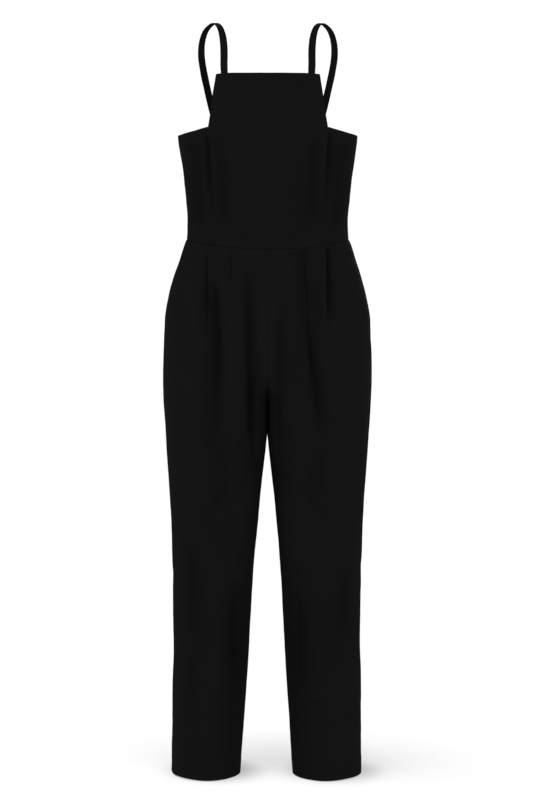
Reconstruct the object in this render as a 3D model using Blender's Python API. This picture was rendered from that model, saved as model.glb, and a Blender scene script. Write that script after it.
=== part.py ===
"""Strappy jumpsuit with a square bib, pleated waist and long straight legs, as walls of cloth in its worn, filled-out form.

Lengths are in millimetres until the last step. Z is up, the front faces -Y and +X is the wearer's left. The origin is
midway between the undersides of the two straps at their tops, where the shoulders carry the garment. Every wall is cut
from one surface: a superellipse at each height, whose sizes come from SECTIONS and INSEAM.
"""

import math

import bmesh
import bpy
import numpy as np

for old in list(bpy.data.objects):
    bpy.data.objects.remove(old, do_unlink=True)

# ---------------------------------------------------------------- driving sizes, mm
WALL = 1.2  # cloth
SEAM = 0.3  # clear gap between pieces at a seam
WAIST_SIDE, WAIST_DIP = -379.0, 13.0  # waist seam at the side, and how much lower it is at centre front
BIB_TOP, BIB_CORNER, UNDERARM = -87.0, -180.0, -196.0  # top of bib, where the side panel joins it, and top edge at the side
CROTCH, PARTING, HIP, HEM = -660.0, -560.0, -520.0, -1345.0  # crotch point, where the legs part and start to, and hem
STRAP_WIDTH, STRAP_THICK = 12.0, 2.0
PLEAT_RADIUS, PLEAT_OPEN_RADIUS = 0.76, 11.0  # of the cloth's middle round a pleat's folds, pressed at the waist and opened out
ZIP_END, ZIP_TAPE, ZIP_TAPE_THICK = -560.0, 11.0, 0.8  # foot of the zip, and each half of its tape

# one side of the body: outermost x, depth forward and depth back of the side seam, and the section's power
SECTIONS = """
    z     outer  front  back   power
   -87    158.0   97.0  101.0  2.30
  -150    160.0  113.5  105.0  2.30
  -180    160.0  121.5  106.0  2.30
  -199    158.7  125.8  106.0  2.28
  -238    153.6  128.3  103.0  2.25
  -273    148.9  124.5   97.5  2.22
  -308    145.1  115.0   90.5  2.20
  -344    142.5  104.5   84.0  2.20
  -362    142.4  100.0   81.5  2.20
  -378    143.6   97.0   80.5  2.20
  -386    147.0   96.3   81.3  2.20
  -415    156.8   99.0   90.0  2.22
  -450    167.9  104.5  106.0  2.26
  -486    177.2  109.0  119.5  2.30
  -522    182.4  112.0  130.0  2.33
  -575    185.2  114.6  138.5  2.36
  -629    185.8  114.5  139.5  2.38
  -665    184.8  112.0  136.0  2.38
  -701    182.8  107.5  129.0  2.36
  -774    178.7   98.0  113.5  2.32
  -846    173.9   90.0   99.5  2.28
  -919    170.5   83.5   89.0  2.24
  -992    168.8   78.5   80.5  2.20
 -1065    167.8   75.0   74.5  2.16
 -1212    169.9   70.0   69.5  2.08
 -1345    172.2   68.5   69.0  2.04
"""
# that side's section again: where its middle is, and its innermost x. Above the crotch that is past the body's middle,
# and the section is cut there by the centre seam
INSEAM = """
    z    middle   inner
  -520     0.0   -182.2
  -545     7.0   -168.0
  -570    26.0   -128.0
  -590    44.0    -84.0
  -605    56.0    -52.0
  -620    66.5    -28.0
  -632    73.0    -14.5
  -642    77.5     -6.8
  -651    81.0     -2.2
  -660    84.0      0.2
  -700    89.5      0.5
  -737    91.6      1.6
  -774    92.4      5.7
  -810    93.2     10.2
  -846    94.0     13.9
  -919    95.5     20.4
  -992    97.3     25.9
 -1065    99.0     30.1
 -1138   101.4     33.9
 -1212   104.6     39.4
 -1345   110.0     47.8
"""
# seam between the bib and the side panels, and above BIB_CORNER the bib's own free side
PRINCESS = """
    z     x
   -87    89.6
  -103    92.0
  -116    94.3
  -158   100.6
  -180   104.0
  -192   106.2
  -215   106.0
  -249   103.2
  -293    99.8
  -352    95.2
  -392    93.0
"""
# pleats in the trouser fronts. The fold's edge faces the side seam. side is -1 for the wearer's right; x_top and x_foot
# are where the edge is at the waist and where it fades; lap is how far the cloth doubles back at the waist
PLEATS = """
  side  x_top  x_foot  length  lap  lift
   -1   103.5   104.0   128    9.0  1.6
   -1    63.0    64.0    92    8.0  1.0
    1   102.0   103.0   134    9.0  1.6
    1    58.0    70.0   160    8.0  1.2
"""
# largest folds, each a soft trough (rise < 0) or ridge from one end to the other; part is front or back (0 or 1)
FOLDS = """
  side part  x0    z0     x1    z1    half_width  rise
   -1   0    92   -455    83   -600     17        -4.5
   -1   0    83   -600    93   -705     15        -3.0
   -1   0    34   -440    33   -590     14        -4.0
   -1   0    33   -590    16   -700     12        -3.0
    1   0    70   -470    84   -650     14        -4.5
    1   0    84   -650    96   -725     14        -3.0
    1   0    28   -500    26   -640     14        -2.5
   -1   0    30   -960    60  -1240     20        -3.0
    1   0    36   -960    64  -1240     20        -3.0
   -1   0   130   -900   118  -1180     18         2.0
    1   0   128   -930   116  -1180     18         2.0
   -1   1    60   -690   120   -640     14        -4.0
    1   1    58   -694   118   -646     14        -4.0
   -1   1    80   -980    70  -1230     20        -3.0
    1   1    84   -980    72  -1230     20        -3.0
"""
# strap from the bib over the shoulder to the back: middle line, and the way its outer face looks
STRAP = """
   x      y      z      nx     ny     nz
  75.5  -86.5   -72.0  -0.14  -0.98   0.14
  75.3  -80.0   -56.0  -0.14  -0.94   0.30
  75.6  -70.0   -40.0  -0.16  -0.84   0.52
  77.0  -55.0   -22.0  -0.20  -0.66   0.72
  81.0  -36.0    -8.0  -0.22  -0.36   0.90
  87.5  -17.0    -0.5  -0.12  -0.14   0.98
  94.0    0.0     1.0   0.05   0.00   1.00
 102.0   14.0    -1.6   0.22   0.16   0.96
 109.5   26.5    -8.0   0.36   0.36   0.86
 115.0   39.0   -19.5   0.46   0.52   0.72
 118.0   51.0   -35.0   0.50   0.66   0.56
 118.0   62.0   -54.0   0.48   0.78   0.40
 114.2   73.0   -80.0   0.40   0.88   0.26
 107.2   81.5  -112.0   0.32   0.93   0.16
 100.0   86.0  -143.0   0.28   0.95   0.10
"""


def table(text):
    """Rows of a table as dictionaries by column name."""
    head, *rows = [line.split() for line in text.strip().splitlines()]
    return [dict(zip(head, map(float, row))) for row in rows]


class Curve:
    """Smooth curve through one column of a table against another, with no overshoot between rows."""

    def __init__(self, text, x, y):
        rows = sorted((row[x], row[y]) for row in table(text))
        self.x, self.y = np.array(rows).T
        step = np.diff(self.x)
        slope = np.diff(self.y) / step
        self.slope = np.concatenate([slope[:1], np.zeros(len(slope) - 1), slope[-1:]])
        for i in range(1, len(slope)):
            if slope[i - 1] * slope[i] > 0:
                a, b = 2 * step[i] + step[i - 1], step[i] + 2 * step[i - 1]
                self.slope[i] = (a + b) / (a / slope[i - 1] + b / slope[i])

    def __call__(self, x):
        x = np.clip(x, self.x[0], self.x[-1])
        i = np.clip(np.searchsorted(self.x, x) - 1, 0, len(self.x) - 2)
        h = self.x[i + 1] - self.x[i]
        t = (x - self.x[i]) / h
        ease = t * t * (3 - 2 * t)
        return (
            self.y[i] * (1 - ease)
            + self.y[i + 1] * ease
            + h * t * (1 - t) * (self.slope[i] * (1 - t) - self.slope[i + 1] * t)
        )


OUTER, FRONT, BACK, POWER = (Curve(SECTIONS, "z", name) for name in ("outer", "front", "back", "power"))
MIDDLE, INNER, PRINCESS_X = Curve(INSEAM, "z", "middle"), Curve(INSEAM, "z", "inner"), Curve(PRINCESS, "z", "x")


def ease(t):
    t = np.clip(t, 0.0, 1.0)
    return t * t * (3 - 2 * t)


def section(z):
    """Middle, width inward and outward of it, depth forward and back, and power of one side's section."""
    outer = OUTER(z)
    body = z > HIP
    middle = np.where(body, 0.0, MIDDLE(z))
    return middle, middle - np.where(body, -outer, INNER(z)), outer - middle, FRONT(z), BACK(z), POWER(z)


def place(a, z, back):
    """Point of the surface, at angle a from the front or back of the section round to the side seam."""
    c, inward, outward, front, rear, n = section(z)
    s = np.sin(a)
    x = c + np.where(s < 0, inward, outward) * np.sign(s) * np.abs(s) ** (2 / n)
    y = np.where(back, rear, -front) * np.abs(np.cos(a)) ** (2 / n)
    return np.stack(np.broadcast_arrays(x, y, z), -1)


def facing(p, flat=None, level=None):
    """Unit normal of the surface at p. It stays in the plane of the middle seam where flat is true, and in that of the
    waist seam where level is true, so that the pieces on both sides of a seam have one edge."""

    def ring(x, y, z):
        c, inward, outward, front, rear, n = section(z)
        return np.abs((x - c) / np.where(x < c, inward, outward)) ** n + np.abs(y / np.where(y < 0, front, rear)) ** n

    x, y, z = np.moveaxis(np.asarray(p, float), -1, 0)
    normal = np.stack(
        [
            (ring(x + 0.02, y, z) - ring(x - 0.02, y, z)) / 0.04,
            (ring(x, y + 0.02, z) - ring(x, y - 0.02, z)) / 0.04,
            (ring(x, y, z + 0.6) - ring(x, y, z - 0.6)) / 1.2,
        ],
        -1,
    )
    if flat is not None:
        normal[..., 0] = np.where(flat, 0.0, normal[..., 0])
    if level is not None:
        normal[..., 2] = np.where(level, 0.0, normal[..., 2])
    return normal / np.linalg.norm(normal, axis=-1, keepdims=True)


def angle_at(x, z):
    """Angle at which the section passes x."""
    c, inward, outward, _, _, n = section(z)
    t = np.clip((x - c) / np.where(x < c, inward, outward), -1.0, 1.0)
    return np.arcsin(np.sign(t) * np.abs(t) ** (n / 2))


def waist_dip(x, z, back):
    """How far below its level a row lies, which follows the waist seam and dies out away from it."""
    dip = 0.0 if back else WAIST_DIP * np.clip(1 - (x / 143.0) ** 2, 0, 1)
    return dip * (1 - ease(np.abs(z - WAIST_SIDE) / 85.0))


FOLD_ROWS = table(FOLDS)


def folds(x, z, side, back):
    """Height of the folds above the plain surface."""
    rise = 0.0 * x
    for f in FOLD_ROWS:
        if f["side"] != side or bool(f["part"]) != back:
            continue
        dx, dz = f["x1"] - f["x0"], f["z1"] - f["z0"]
        t = ((x - f["x0"]) * dx + (z - f["z0"]) * dz) / (dx * dx + dz * dz)
        away = np.hypot(x - f["x0"] - dx * t, z - f["z0"] - dz * t) / f["half_width"]
        along = ease((t + 0.18) / 0.4) * ease((1.18 - t) / 0.4)
        rise = rise + f["rise"] * np.exp(-away * away) * along
    return rise


# ---------------------------------------------------------------- cloth walls
def walk(z, back, trim):
    """Angles along one side's section, from its middle or inner edge to the side seam, and the distance to each."""
    a = np.linspace(angle_at(SEAM / 2, z), math.pi / 2, 900)
    p = place(a, z, back)
    s = np.concatenate([[0.0], np.cumsum(np.linalg.norm(np.diff(p, axis=0), axis=1))])
    start = SEAM / 2 if z <= CROTCH else 0.0
    return a, s, start, s[-1] - (SEAM / 2 if trim else 0.0)


def spread(z, back, start, end, count):
    """Even places across a panel. Just above the crotch, those near the centre seam close up and the rest run on into
    the leg's, because the leg's inner side starts below it."""
    at = np.linspace(start, end, count + 1)
    if CROTCH < z < PARTING:
        full = [walk(level, back, False)[1][-1] for level in (PARTING, CROTCH)]
        full = full[1] + (full[0] - full[1]) * float(ease((z - CROTCH) / (PARTING - CROTCH)))
        far = np.linspace(full, 0, count + 1)
        at = end - far + max(full - (end - start), 0.0) * (far / full) ** 4
    return at


def pleat_path(row, below, arc_steps):
    """Cloth's middle through a pleat: distance from the fold's edge, depth, and how far the cloth has turned over."""
    u = np.clip(below / row["length"], 0.0, 1.0)
    turn = math.pi * (1 - ease(u) ** 0.8) + 0.10
    turn = min(turn, math.pi)
    radius = PLEAT_RADIUS + (PLEAT_OPEN_RADIUS - PLEAT_RADIUS) * ease((u - 0.30) / 0.7)
    lap = max(row["lap"] - 2 * radius, 0.0) * (1 - 0.75 * ease(u)) + 0.4
    psi = np.linspace(0, turn, arc_steps)
    s1, d1 = radius * np.sin(psi), radius * (1 - np.cos(psi))
    s2 = s1[-1] + lap * math.cos(turn) + radius * (math.sin(turn) - np.sin(psi[::-1]))
    d2 = d1[-1] + lap * math.sin(turn) + radius * (np.cos(psi[::-1]) - math.cos(turn))
    s, d, phi = np.concatenate([s1, s2]), np.concatenate([d1, d2]), np.concatenate([psi, psi[::-1]])
    s = s - (radius if turn > math.pi / 2 else radius * math.sin(turn))
    return s, d, phi


def trouser_row(z, back, side, plain, arc_steps=4, pleated=True):
    """Outer and inner points of one row of a trouser panel, and the share of the way across of each."""
    a, s, start, end = walk(z, back, True)
    pleats = [p for p in table(PLEATS) if p["side"] == side] if pleated and not back else []
    below = WAIST_SIDE - z
    at, depth, phi = [], [], []
    stops = [start]
    for p in sorted(pleats, key=lambda p: p["x_top"]):
        x = p["x_top"] + (p["x_foot"] - p["x_top"]) * np.clip(below / p["length"], 0, 1)
        edge = np.interp(angle_at(x, z), a, s)
        ps, pd, pf = pleat_path(p, below, arc_steps)
        stops.append((edge + ps, pd, pf, 16.0, edge))
    # plain stretches before, between and after the pleats
    spans = plain
    here = start
    for i, (ps, pd, pf, reach, edge) in enumerate(stops[1:]):
        n = spans[i]
        first = ps[0] - 3.0
        run = np.linspace(here, first, n + 1)
        at += list(run) + list(ps)
        depth += [0.0] * len(run) + list(pd)
        phi += [0.0] * len(run) + list(pf)
        here = ps[-1] + reach
        back_up = np.linspace(ps[-1], here, 4)[1:-1]
        at += list(back_up)
        fall = pd[-1] * (1 - ease((back_up - ps[-1]) / reach))
        depth += list(fall)
        phi += list(np.arctan(pd[-1] / reach * np.array([1.3, 1.3])))
    run = np.linspace(here, end, spans[-1] + 1) if pleats else spread(z, back, start, end, spans[-1])
    at += list(run)
    depth += [0.0] * len(run)
    phi += [0.0] * len(run)
    at, depth, phi = map(np.array, (at, depth, phi))

    ang = np.interp(at, s, a)
    p = place(ang, z, back)
    zz = z - waist_dip(p[:, 0], z, back)
    p = place(ang, zz, back)
    middle = (np.arange(len(at)) == 0) & (z > CROTCH)
    normal = facing(p, middle, z == WAIST_SIDE)
    q = place(ang + 1e-4, zz, back) - place(ang - 1e-4, zz, back)
    tangent = q / np.linalg.norm(q, axis=-1, keepdims=True)
    lift = folds(p[:, 0], p[:, 2], side, back)
    for pl, stop in zip(sorted(pleats, key=lambda p: p["x_top"]), stops[1:]):
        u = np.clip(below / pl["length"], 0, 1)
        lift = lift + pl["lift"] * math.sin(math.pi * min(u + 0.12, 1.0)) * np.exp(-(((at - stop[4] + 6) / 16.0) ** 2))
    mid = p + normal * (lift - depth - WALL / 2)[:, None]
    out = normal * np.cos(phi)[:, None] + tangent * np.sin(phi)[:, None]
    return mid + out * WALL / 2, mid - out * WALL / 2, (at - start) / (end - start)


PANELS = {}


def shell(name, rows, side=1):
    """Closed wall from rows of (outer points, inner points, share across). Rows may have different counts."""
    PANELS[name] = rows
    verts, faces, index = [], [], []
    for outer, inner, _ in rows:
        k = len(verts)
        index.append((range(k, k + len(outer)), range(k + len(outer), k + 2 * len(outer))))
        verts += list(outer) + list(inner)

    def strip(top, low, t, u):
        """Triangles between two rows, as steps along the upper one (0) or the lower one (1)."""
        i = j = 0
        steps = []
        while i < len(top) - 1 or j < len(low) - 1:
            if len(top) == len(low) and i == j:
                # the shorter diagonal of each four-sided patch
                down = np.linalg.norm(np.subtract(verts[top[i]], verts[low[j + 1]]))
                steps.append(int(down < np.linalg.norm(np.subtract(verts[low[j]], verts[top[i + 1]]))))
            elif len(top) == len(low):
                steps.append(int(j < i))
            else:
                steps.append(int(i == len(top) - 1 or (j < len(low) - 1 and t[i + 1] + t[i] > u[j + 1] + u[j])))
            i, j = i + (steps[-1] == 0), j + (steps[-1] == 1)
        return steps

    for r in range(len(rows) - 1):
        (o0, i0), (o1, i1) = index[r], index[r + 1]
        steps = strip(o0, o1, rows[r][2], rows[r + 1][2])
        for top, low, flip in ((o0, o1, False), (i0, i1, True)):
            i = j = 0
            for step in steps:
                face = (top[i], low[j], low[j + 1] if step else top[i + 1])
                i, j = i + (step == 0), j + (step == 1)
                faces.append(face[::-1] if flip else face)
        for k, flip in ((0, True), (-1, False)):
            for face in ((o0[k], o1[k], i1[k]), (o0[k], i1[k], i0[k])):
                faces.append(face[::-1] if flip else face)
    for r, flip in ((0, True), (-1, False)):
        o, i = index[r]
        for k in range(len(o) - 1):
            for face in ((o[k], i[k], i[k + 1]), (o[k], i[k + 1], o[k + 1])):
                faces.append(face[::-1] if flip else face)
    return solid(name, verts, faces, side)


def solid(name, verts, faces, side=1):
    """Mesh object in metres, mirrored to the wearer's right when side is -1, with its faces pointing out."""
    mesh = bpy.data.meshes.new(name)
    mesh.from_pydata([(side * v[0] * 0.001, v[1] * 0.001, v[2] * 0.001) for v in verts], [], [tuple(f) for f in faces])
    bm = bmesh.new()
    bm.from_mesh(mesh)
    bmesh.ops.recalc_face_normals(bm, faces=bm.faces)
    bm.to_mesh(mesh)
    bm.free()
    obj = bpy.data.objects.new(name, mesh)
    bpy.context.scene.collection.objects.link(obj)
    return obj


def grid_wall(name, ang, z, back, side, middle=None, trims=(0, 0, 0, 0)):
    """Wall over a grid of angles and heights (rows from the top). trims draws in its start, end, top and foot."""
    p = place(ang, z, back)
    flat = np.zeros(p.shape[:2], bool)
    if middle is not None:
        flat[:, middle] = True
    waist = np.zeros(p.shape[:2], bool)
    waist[-1] = True
    normal = facing(p, flat, waist)
    lift = folds(p[..., 0], p[..., 2], side, back)
    outer = p + normal * lift[..., None]
    inner = outer - normal * WALL
    for face in (outer, inner):
        for trim, edge, beside in ((trims[0], 0, 1), (trims[1], -1, -2)):
            step = p[:, beside] - p[:, edge]
            face[:, edge] += trim * step / np.linalg.norm(step, axis=-1, keepdims=True)
        face[0, :, 2] -= trims[2]
        face[-1, :, 2] += trims[3]
    share = np.linspace(0, 1, ang.shape[1])
    return shell(name, [(o, i, share) for o, i in zip(outer, inner)], side)


# ---------------------------------------------------------------- bodice
def bodice():
    share = np.linspace(0, 1, 13) ** 1.05
    low = np.linspace(0, 1, 13)

    # bib: across from seam to seam, from its top edge down to the waist
    across = np.linspace(-1, 1, 13)
    rows = []
    top = [0.0, 0.04, 0.12, 0.30, 0.50, 0.72]
    for t in top:
        z = BIB_TOP + (BIB_CORNER - BIB_TOP) * t - 2.4 * np.abs(across) ** 8 * (1 - t) ** 2
        rows.append((across * PRINCESS_X(z), z))
    for t in low:
        x, z = across * 100.0, np.full(13, BIB_CORNER)
        for _ in range(3):
            foot = WAIST_SIDE - waist_dip(x, WAIST_SIDE, False)
            z = BIB_CORNER + (foot - BIB_CORNER) * t
            x = across * PRINCESS_X(z)
        rows.append((x, z))
    x, z = np.array([r[0] for r in rows]), np.array([r[1] for r in rows])
    p = place(angle_at(np.abs(x), z), z, False)
    waist = np.zeros(x.shape, bool)
    waist[-1] = True
    normal = facing(p, None, waist)
    normal[..., 0] *= np.sign(x)
    p[..., 0] = x
    outer, inner = p.copy(), p - normal * WALL
    for face in (outer, inner):
        for edge, beside in ((0, 1), (-1, -2)):
            step = p[:, beside] - p[:, edge]
            face[:, edge] += SEAM / 2 * step / np.linalg.norm(step, axis=-1, keepdims=True)
        face[-1, :, 2] += SEAM / 2
    shell("bib_front", [(o, i, across) for o, i in zip(outer, inner)])

    # side panels: from the bib's seam round to the side seam, under a sloping top edge
    cols = np.linspace(0, 1, 8)
    for side, word in ((1, "left"), (-1, "right")):
        ang, zed = [], []
        for t in low:
            x, z = np.full(8, 120.0), np.full(8, BIB_CORNER)
            for _ in range(4):
                corner = PRINCESS_X(BIB_CORNER)
                across = np.clip((x - corner) / (OUTER(UNDERARM) - corner), 0, 1)
                head = BIB_CORNER + (UNDERARM - BIB_CORNER) * (0.6 * across + 0.4 * cols)
                foot = WAIST_SIDE - waist_dip(x, WAIST_SIDE, False)
                z = head + (foot - head) * t
                first = angle_at(PRINCESS_X(z), z)
                a = first + (math.pi / 2 - first) * cols
                x = place(a, z, False)[:, 0]
            ang.append(a)
            zed.append(z)
        grid_wall(
            f"side_front_{word}", np.array(ang), np.array(zed), False, side, None, (SEAM / 2, SEAM / 2, 0, SEAM / 2)
        )

    # back: from the zip at the middle round to the side seam. The zip's slider parts the panels at the top
    cols = np.linspace(0, 1, 13)
    for side, word in ((1, "left"), (-1, "right")):
        ang, zed = [], []
        for t in np.linspace(0, 1, 12):
            z = np.full(13, UNDERARM + (WAIST_SIDE - UNDERARM) * t)
            part = SEAM / 2 + 1.0 * ease((z - (UNDERARM - 30)) / 14)
            first = angle_at(part, z)
            ang.append(first + (math.pi / 2 - first) * cols)
            zed.append(z)
        grid_wall(f"back_bodice_{word}", np.array(ang), np.array(zed), True, side, 0, (0, SEAM / 2, 0, SEAM / 2))


# ---------------------------------------------------------------- trousers
PLEATED_ROWS = (0, 7, 17, 30, 46, 64, 84, 106, 130, 152, 172)  # below the waist seam
LEG_ROWS = (-572, -590, -606, -620, -632, -642, -650, -656, -660, -670, -685, -706, -732, -766, -806, -850, -900, -955, -1010,
            -1070, -1130, -1190, -1245, -1300, -1345)  # fmt: skip
BACK_ROWS = (-379, -392, -412, -440, -475, -512, -548) + LEG_ROWS


def trousers():
    for side, word in ((1, "left"), (-1, "right")):
        rows = []
        for below in PLEATED_ROWS:
            rows.append(trouser_row(WAIST_SIDE - below, False, side, (3, 2, 3)))
        for z in LEG_ROWS:
            rows.append(trouser_row(z, False, side, (12,), pleated=False))
        rows[0][0][:, 2] -= SEAM / 2
        rows[0][1][:, 2] -= SEAM / 2
        shell(f"trouser_front_{word}", rows, side)
        rows = [trouser_row(z, True, side, (11,)) for z in BACK_ROWS]
        rows[0][0][:, 2] -= SEAM / 2
        rows[0][1][:, 2] -= SEAM / 2
        shell(f"trouser_back_{word}", rows, side)


# ---------------------------------------------------------------- straps
def inside(x, z, back, gap, thick):
    """Point and normal of a thing of that thickness lying inside a panel."""
    p = place(angle_at(x, z), z, back)
    n = facing(p)
    return p - n * (WALL + gap + thick / 2), n


def strap_path():
    rows = [inside(76.0, z, False, 1.2, STRAP_THICK) for z in (-113.0, -99.0, -86.0)]
    rows += [
        (np.array([r["x"], r["y"], r["z"]]), np.array([r["nx"], r["ny"], r["nz"]])) for r in table(STRAP)
    ]
    rows += [inside(x, z, True, 0.9, STRAP_THICK) for x, z in ((94.5, -172.0), (91.2, -188.0), (88.0, -212.0))]
    return np.array([r[0] for r in rows]), np.array([r[1] for r in rows])


def smooth(points, count):
    """Even points along a smooth line through the given ones."""
    reach = np.concatenate([[0], np.cumsum(np.linalg.norm(np.diff(points[:, :3], axis=0), axis=1))])
    slope = np.gradient(points, reach, axis=0)
    at = np.linspace(0, reach[-1], count)
    i = np.clip(np.searchsorted(reach, at) - 1, 0, len(reach) - 2)
    h = (reach[i + 1] - reach[i])[:, None]
    t = (at[:, None] - reach[i][:, None]) / h
    e = t * t * (3 - 2 * t)
    return points[i] * (1 - e) + points[i + 1] * e + h * t * (1 - t) * (slope[i] * (1 - t) - slope[i + 1] * t)


def straps(count=40):
    points, normals = strap_path()
    line = smooth(np.concatenate([points, normals], 1), count)
    points, normals = line[:, :3], line[:, 3:]
    along = np.gradient(points, axis=0)
    along /= np.linalg.norm(along, axis=1, keepdims=True)
    normals = normals - along * np.sum(normals * along, axis=1, keepdims=True)
    normals /= np.linalg.norm(normals, axis=1, keepdims=True)
    across = np.cross(along, normals)
    ring = [(-0.5, -0.32), (-0.5, 0.32), (-0.44, 0.5), (0.44, 0.5), (0.5, 0.32), (0.5, -0.32), (0.44, -0.5), (-0.44, -0.5)]
    for side, word in ((1, "left"), (-1, "right")):
        verts = [
            p + w * STRAP_WIDTH * u + n * STRAP_THICK * v for p, w, n in zip(points, across, normals) for u, v in ring
        ]
        m, faces = len(ring), []
        for i in range(count - 1):
            for k in range(m):
                a, b = i * m + k, i * m + (k + 1) % m
                faces += [(a, b, b + m), (a, b + m, a + m)]
        for base in (0, (count - 1) * m):
            faces += [(base, base + k, base + k + 1) for k in range(1, m - 1)]
        solid(f"strap_{word}", verts, faces, side)


# ---------------------------------------------------------------- concealed zip at centre back
SLIDER_Z = UNDERARM - 8.0  # middle of the slider and of the pull's hinge
PULL_LENGTH, PULL_WIDTH, PULL_THICK = 21.0, 5.0, 0.9


def zip_tapes():
    """Two tapes against the inside of the back panels, each made from the panel's own points, moved in."""
    rows = PANELS["back_bodice_left"] + PANELS["trouser_back_left"][1:]
    shares = np.array([0.0, 0.5, 1.0])
    tape = []
    for outer, inner, _ in rows:
        if inner[0][2] > UNDERARM - 2 or inner[0][2] < ZIP_END:
            continue
        reach = (ZIP_TAPE - inner[0][0]) / (inner[1][0] - inner[0][0]) * shares
        base = inner[0] + (inner[1] - inner[0]) * reach[:, None]
        normal = (outer[0] - inner[0]) / WALL * (1 - reach)[:, None] + (outer[1] - inner[1]) / WALL * reach[:, None]
        tape.append((base - normal * SEAM, base - normal * (SEAM + ZIP_TAPE_THICK), shares))
    for side, word in ((1, "left"), (-1, "right")):
        shell(f"zip_tape_{word}", tape, side)


def box(name, x0, x1, y0, y1, z0, z1):
    verts = [(x, y, z) for x in (x0, x1) for y in (y0, y1) for z in (z0, z1)]
    quads = [(0, 1, 3, 2), (4, 6, 7, 5), (0, 4, 5, 1), (2, 3, 7, 6), (0, 2, 6, 4), (1, 5, 7, 3)]
    return solid(name, verts, quads)


def combine(base, other, operation):
    """Adds other to base or cuts it out."""
    mod = base.modifiers.new("combine", "BOOLEAN")
    mod.operation, mod.solver, mod.object = operation, "EXACT", other
    bpy.context.view_layer.update()
    mesh = bpy.data.meshes.new_from_object(base.evaluated_get(bpy.context.evaluated_depsgraph_get()))
    base.modifiers.clear()
    base.data = mesh
    bpy.data.objects.remove(other, do_unlink=True)


def zip_hardware():
    face = float(BACK(SLIDER_Z))  # outer face of the back at the slider
    hole, limb = 1.9, 0.9
    axis_y = face + 0.7 + hole / 2
    behind = face - WALL - SEAM - ZIP_TAPE_THICK - SEAM
    slider = box("zip_slider", -2.8, 2.8, behind - 2.0, behind, SLIDER_Z - 4.5, SLIDER_Z + 4.5)
    neck = box("neck", -0.8, 0.8, behind - 1.0, axis_y + hole / 2 + limb, SLIDER_Z - hole / 2 - limb, SLIDER_Z + hole / 2 + limb)
    combine(slider, neck, "UNION")
    combine(
        slider,
        box("hole", -2, 2, axis_y - hole / 2, axis_y + hole / 2, SLIDER_Z - hole / 2, SLIDER_Z + hole / 2),
        "DIFFERENCE",
    )
    # pull: a tapering tab with a round foot, hung by the bar above its window
    top = SLIDER_Z + PULL_THICK / 2
    foot_z = top - PULL_LENGTH + PULL_WIDTH / 2
    ring = [(-1.9, top), (-2.1, top - 4.0)]
    ring += [
        (PULL_WIDTH / 2 * math.cos(math.radians(a)), foot_z + PULL_WIDTH / 2 * math.sin(math.radians(a)))
        for a in range(180, 361, 20)
    ]
    ring += [(2.1, top - 4.0), (1.9, top)]
    n = len(ring)
    verts = [(x, y, z) for y in (axis_y - PULL_THICK / 2, axis_y + PULL_THICK / 2) for x, z in ring]
    faces = [tuple(range(n)), tuple(range(2 * n - 1, n - 1, -1))]
    faces += [(k, (k + 1) % n, n + (k + 1) % n, n + k) for k in range(n)]
    pull = solid("zip_pull", verts, faces)
    combine(
        pull,
        box("window", -1.15, 1.15, axis_y - 2, axis_y + 2, top - PULL_THICK - 2.7, top - PULL_THICK),
        "DIFFERENCE",
    )


bodice()
trousers()
straps()
zip_tapes()
zip_hardware()
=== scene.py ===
"""Looks of a strappy jumpsuit in black crepe: a square bib, a pleated waist and long straight legs, worn and
filled out.

Lengths are in millimetres until meshes are made. Z is up, the front faces -Y and +X is the wearer's left.
Every panel is cut from one surface, a superellipse at each height, within about 2 mm of the solids' own.
The fine panels add the creases of the cloth, its seams, turned edges and stitches.
"""

import math

import bpy
import numpy as np
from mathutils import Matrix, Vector

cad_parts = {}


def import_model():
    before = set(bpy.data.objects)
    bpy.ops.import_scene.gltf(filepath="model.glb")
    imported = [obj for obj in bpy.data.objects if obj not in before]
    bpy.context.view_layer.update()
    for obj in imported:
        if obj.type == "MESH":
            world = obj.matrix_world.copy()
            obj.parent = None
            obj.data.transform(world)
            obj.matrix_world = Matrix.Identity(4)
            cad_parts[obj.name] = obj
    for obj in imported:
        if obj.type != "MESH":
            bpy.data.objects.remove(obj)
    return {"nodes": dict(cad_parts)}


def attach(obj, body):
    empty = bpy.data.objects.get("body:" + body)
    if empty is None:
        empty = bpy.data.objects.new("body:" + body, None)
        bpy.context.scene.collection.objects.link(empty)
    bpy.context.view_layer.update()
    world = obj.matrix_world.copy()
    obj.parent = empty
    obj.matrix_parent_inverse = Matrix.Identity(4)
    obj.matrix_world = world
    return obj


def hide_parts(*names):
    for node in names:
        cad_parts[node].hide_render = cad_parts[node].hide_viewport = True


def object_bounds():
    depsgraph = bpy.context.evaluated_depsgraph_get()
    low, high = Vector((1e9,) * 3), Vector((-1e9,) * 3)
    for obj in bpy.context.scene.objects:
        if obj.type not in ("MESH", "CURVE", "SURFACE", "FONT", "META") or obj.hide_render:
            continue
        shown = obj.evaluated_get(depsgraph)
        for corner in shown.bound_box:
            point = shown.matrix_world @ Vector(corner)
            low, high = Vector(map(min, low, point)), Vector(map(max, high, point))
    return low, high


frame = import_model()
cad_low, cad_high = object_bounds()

# ---------------------------------------------------------------- driving sizes, mm
WALL = 1.2  # cloth
JOIN = 0.02  # clear gap between panels at a seam
SEAM = 0.3  # clear gap between the back panels and the zip's tapes
WAIST_SIDE = -379.0  # waist seam at the side seams
WAIST_DIP = 13.0  # how much lower the waist seam is at centre front
DIP_HALF, DIP_REACH = 143.0, 85.0  # how far out it dips, and how far above and below it rows follow
BIB_TOP = -87.0  # top edge of the bib
BIB_CORNER = -180.0  # where the side panels join the bib
UNDERARM = -196.0  # top edge at the side seams and the back
HIP = -520.0  # where the surface's two halves start to part
PARTING = -560.0  # where the panels' points start to run on into the legs
CROTCH = -660.0
HEM = -1345.0
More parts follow.
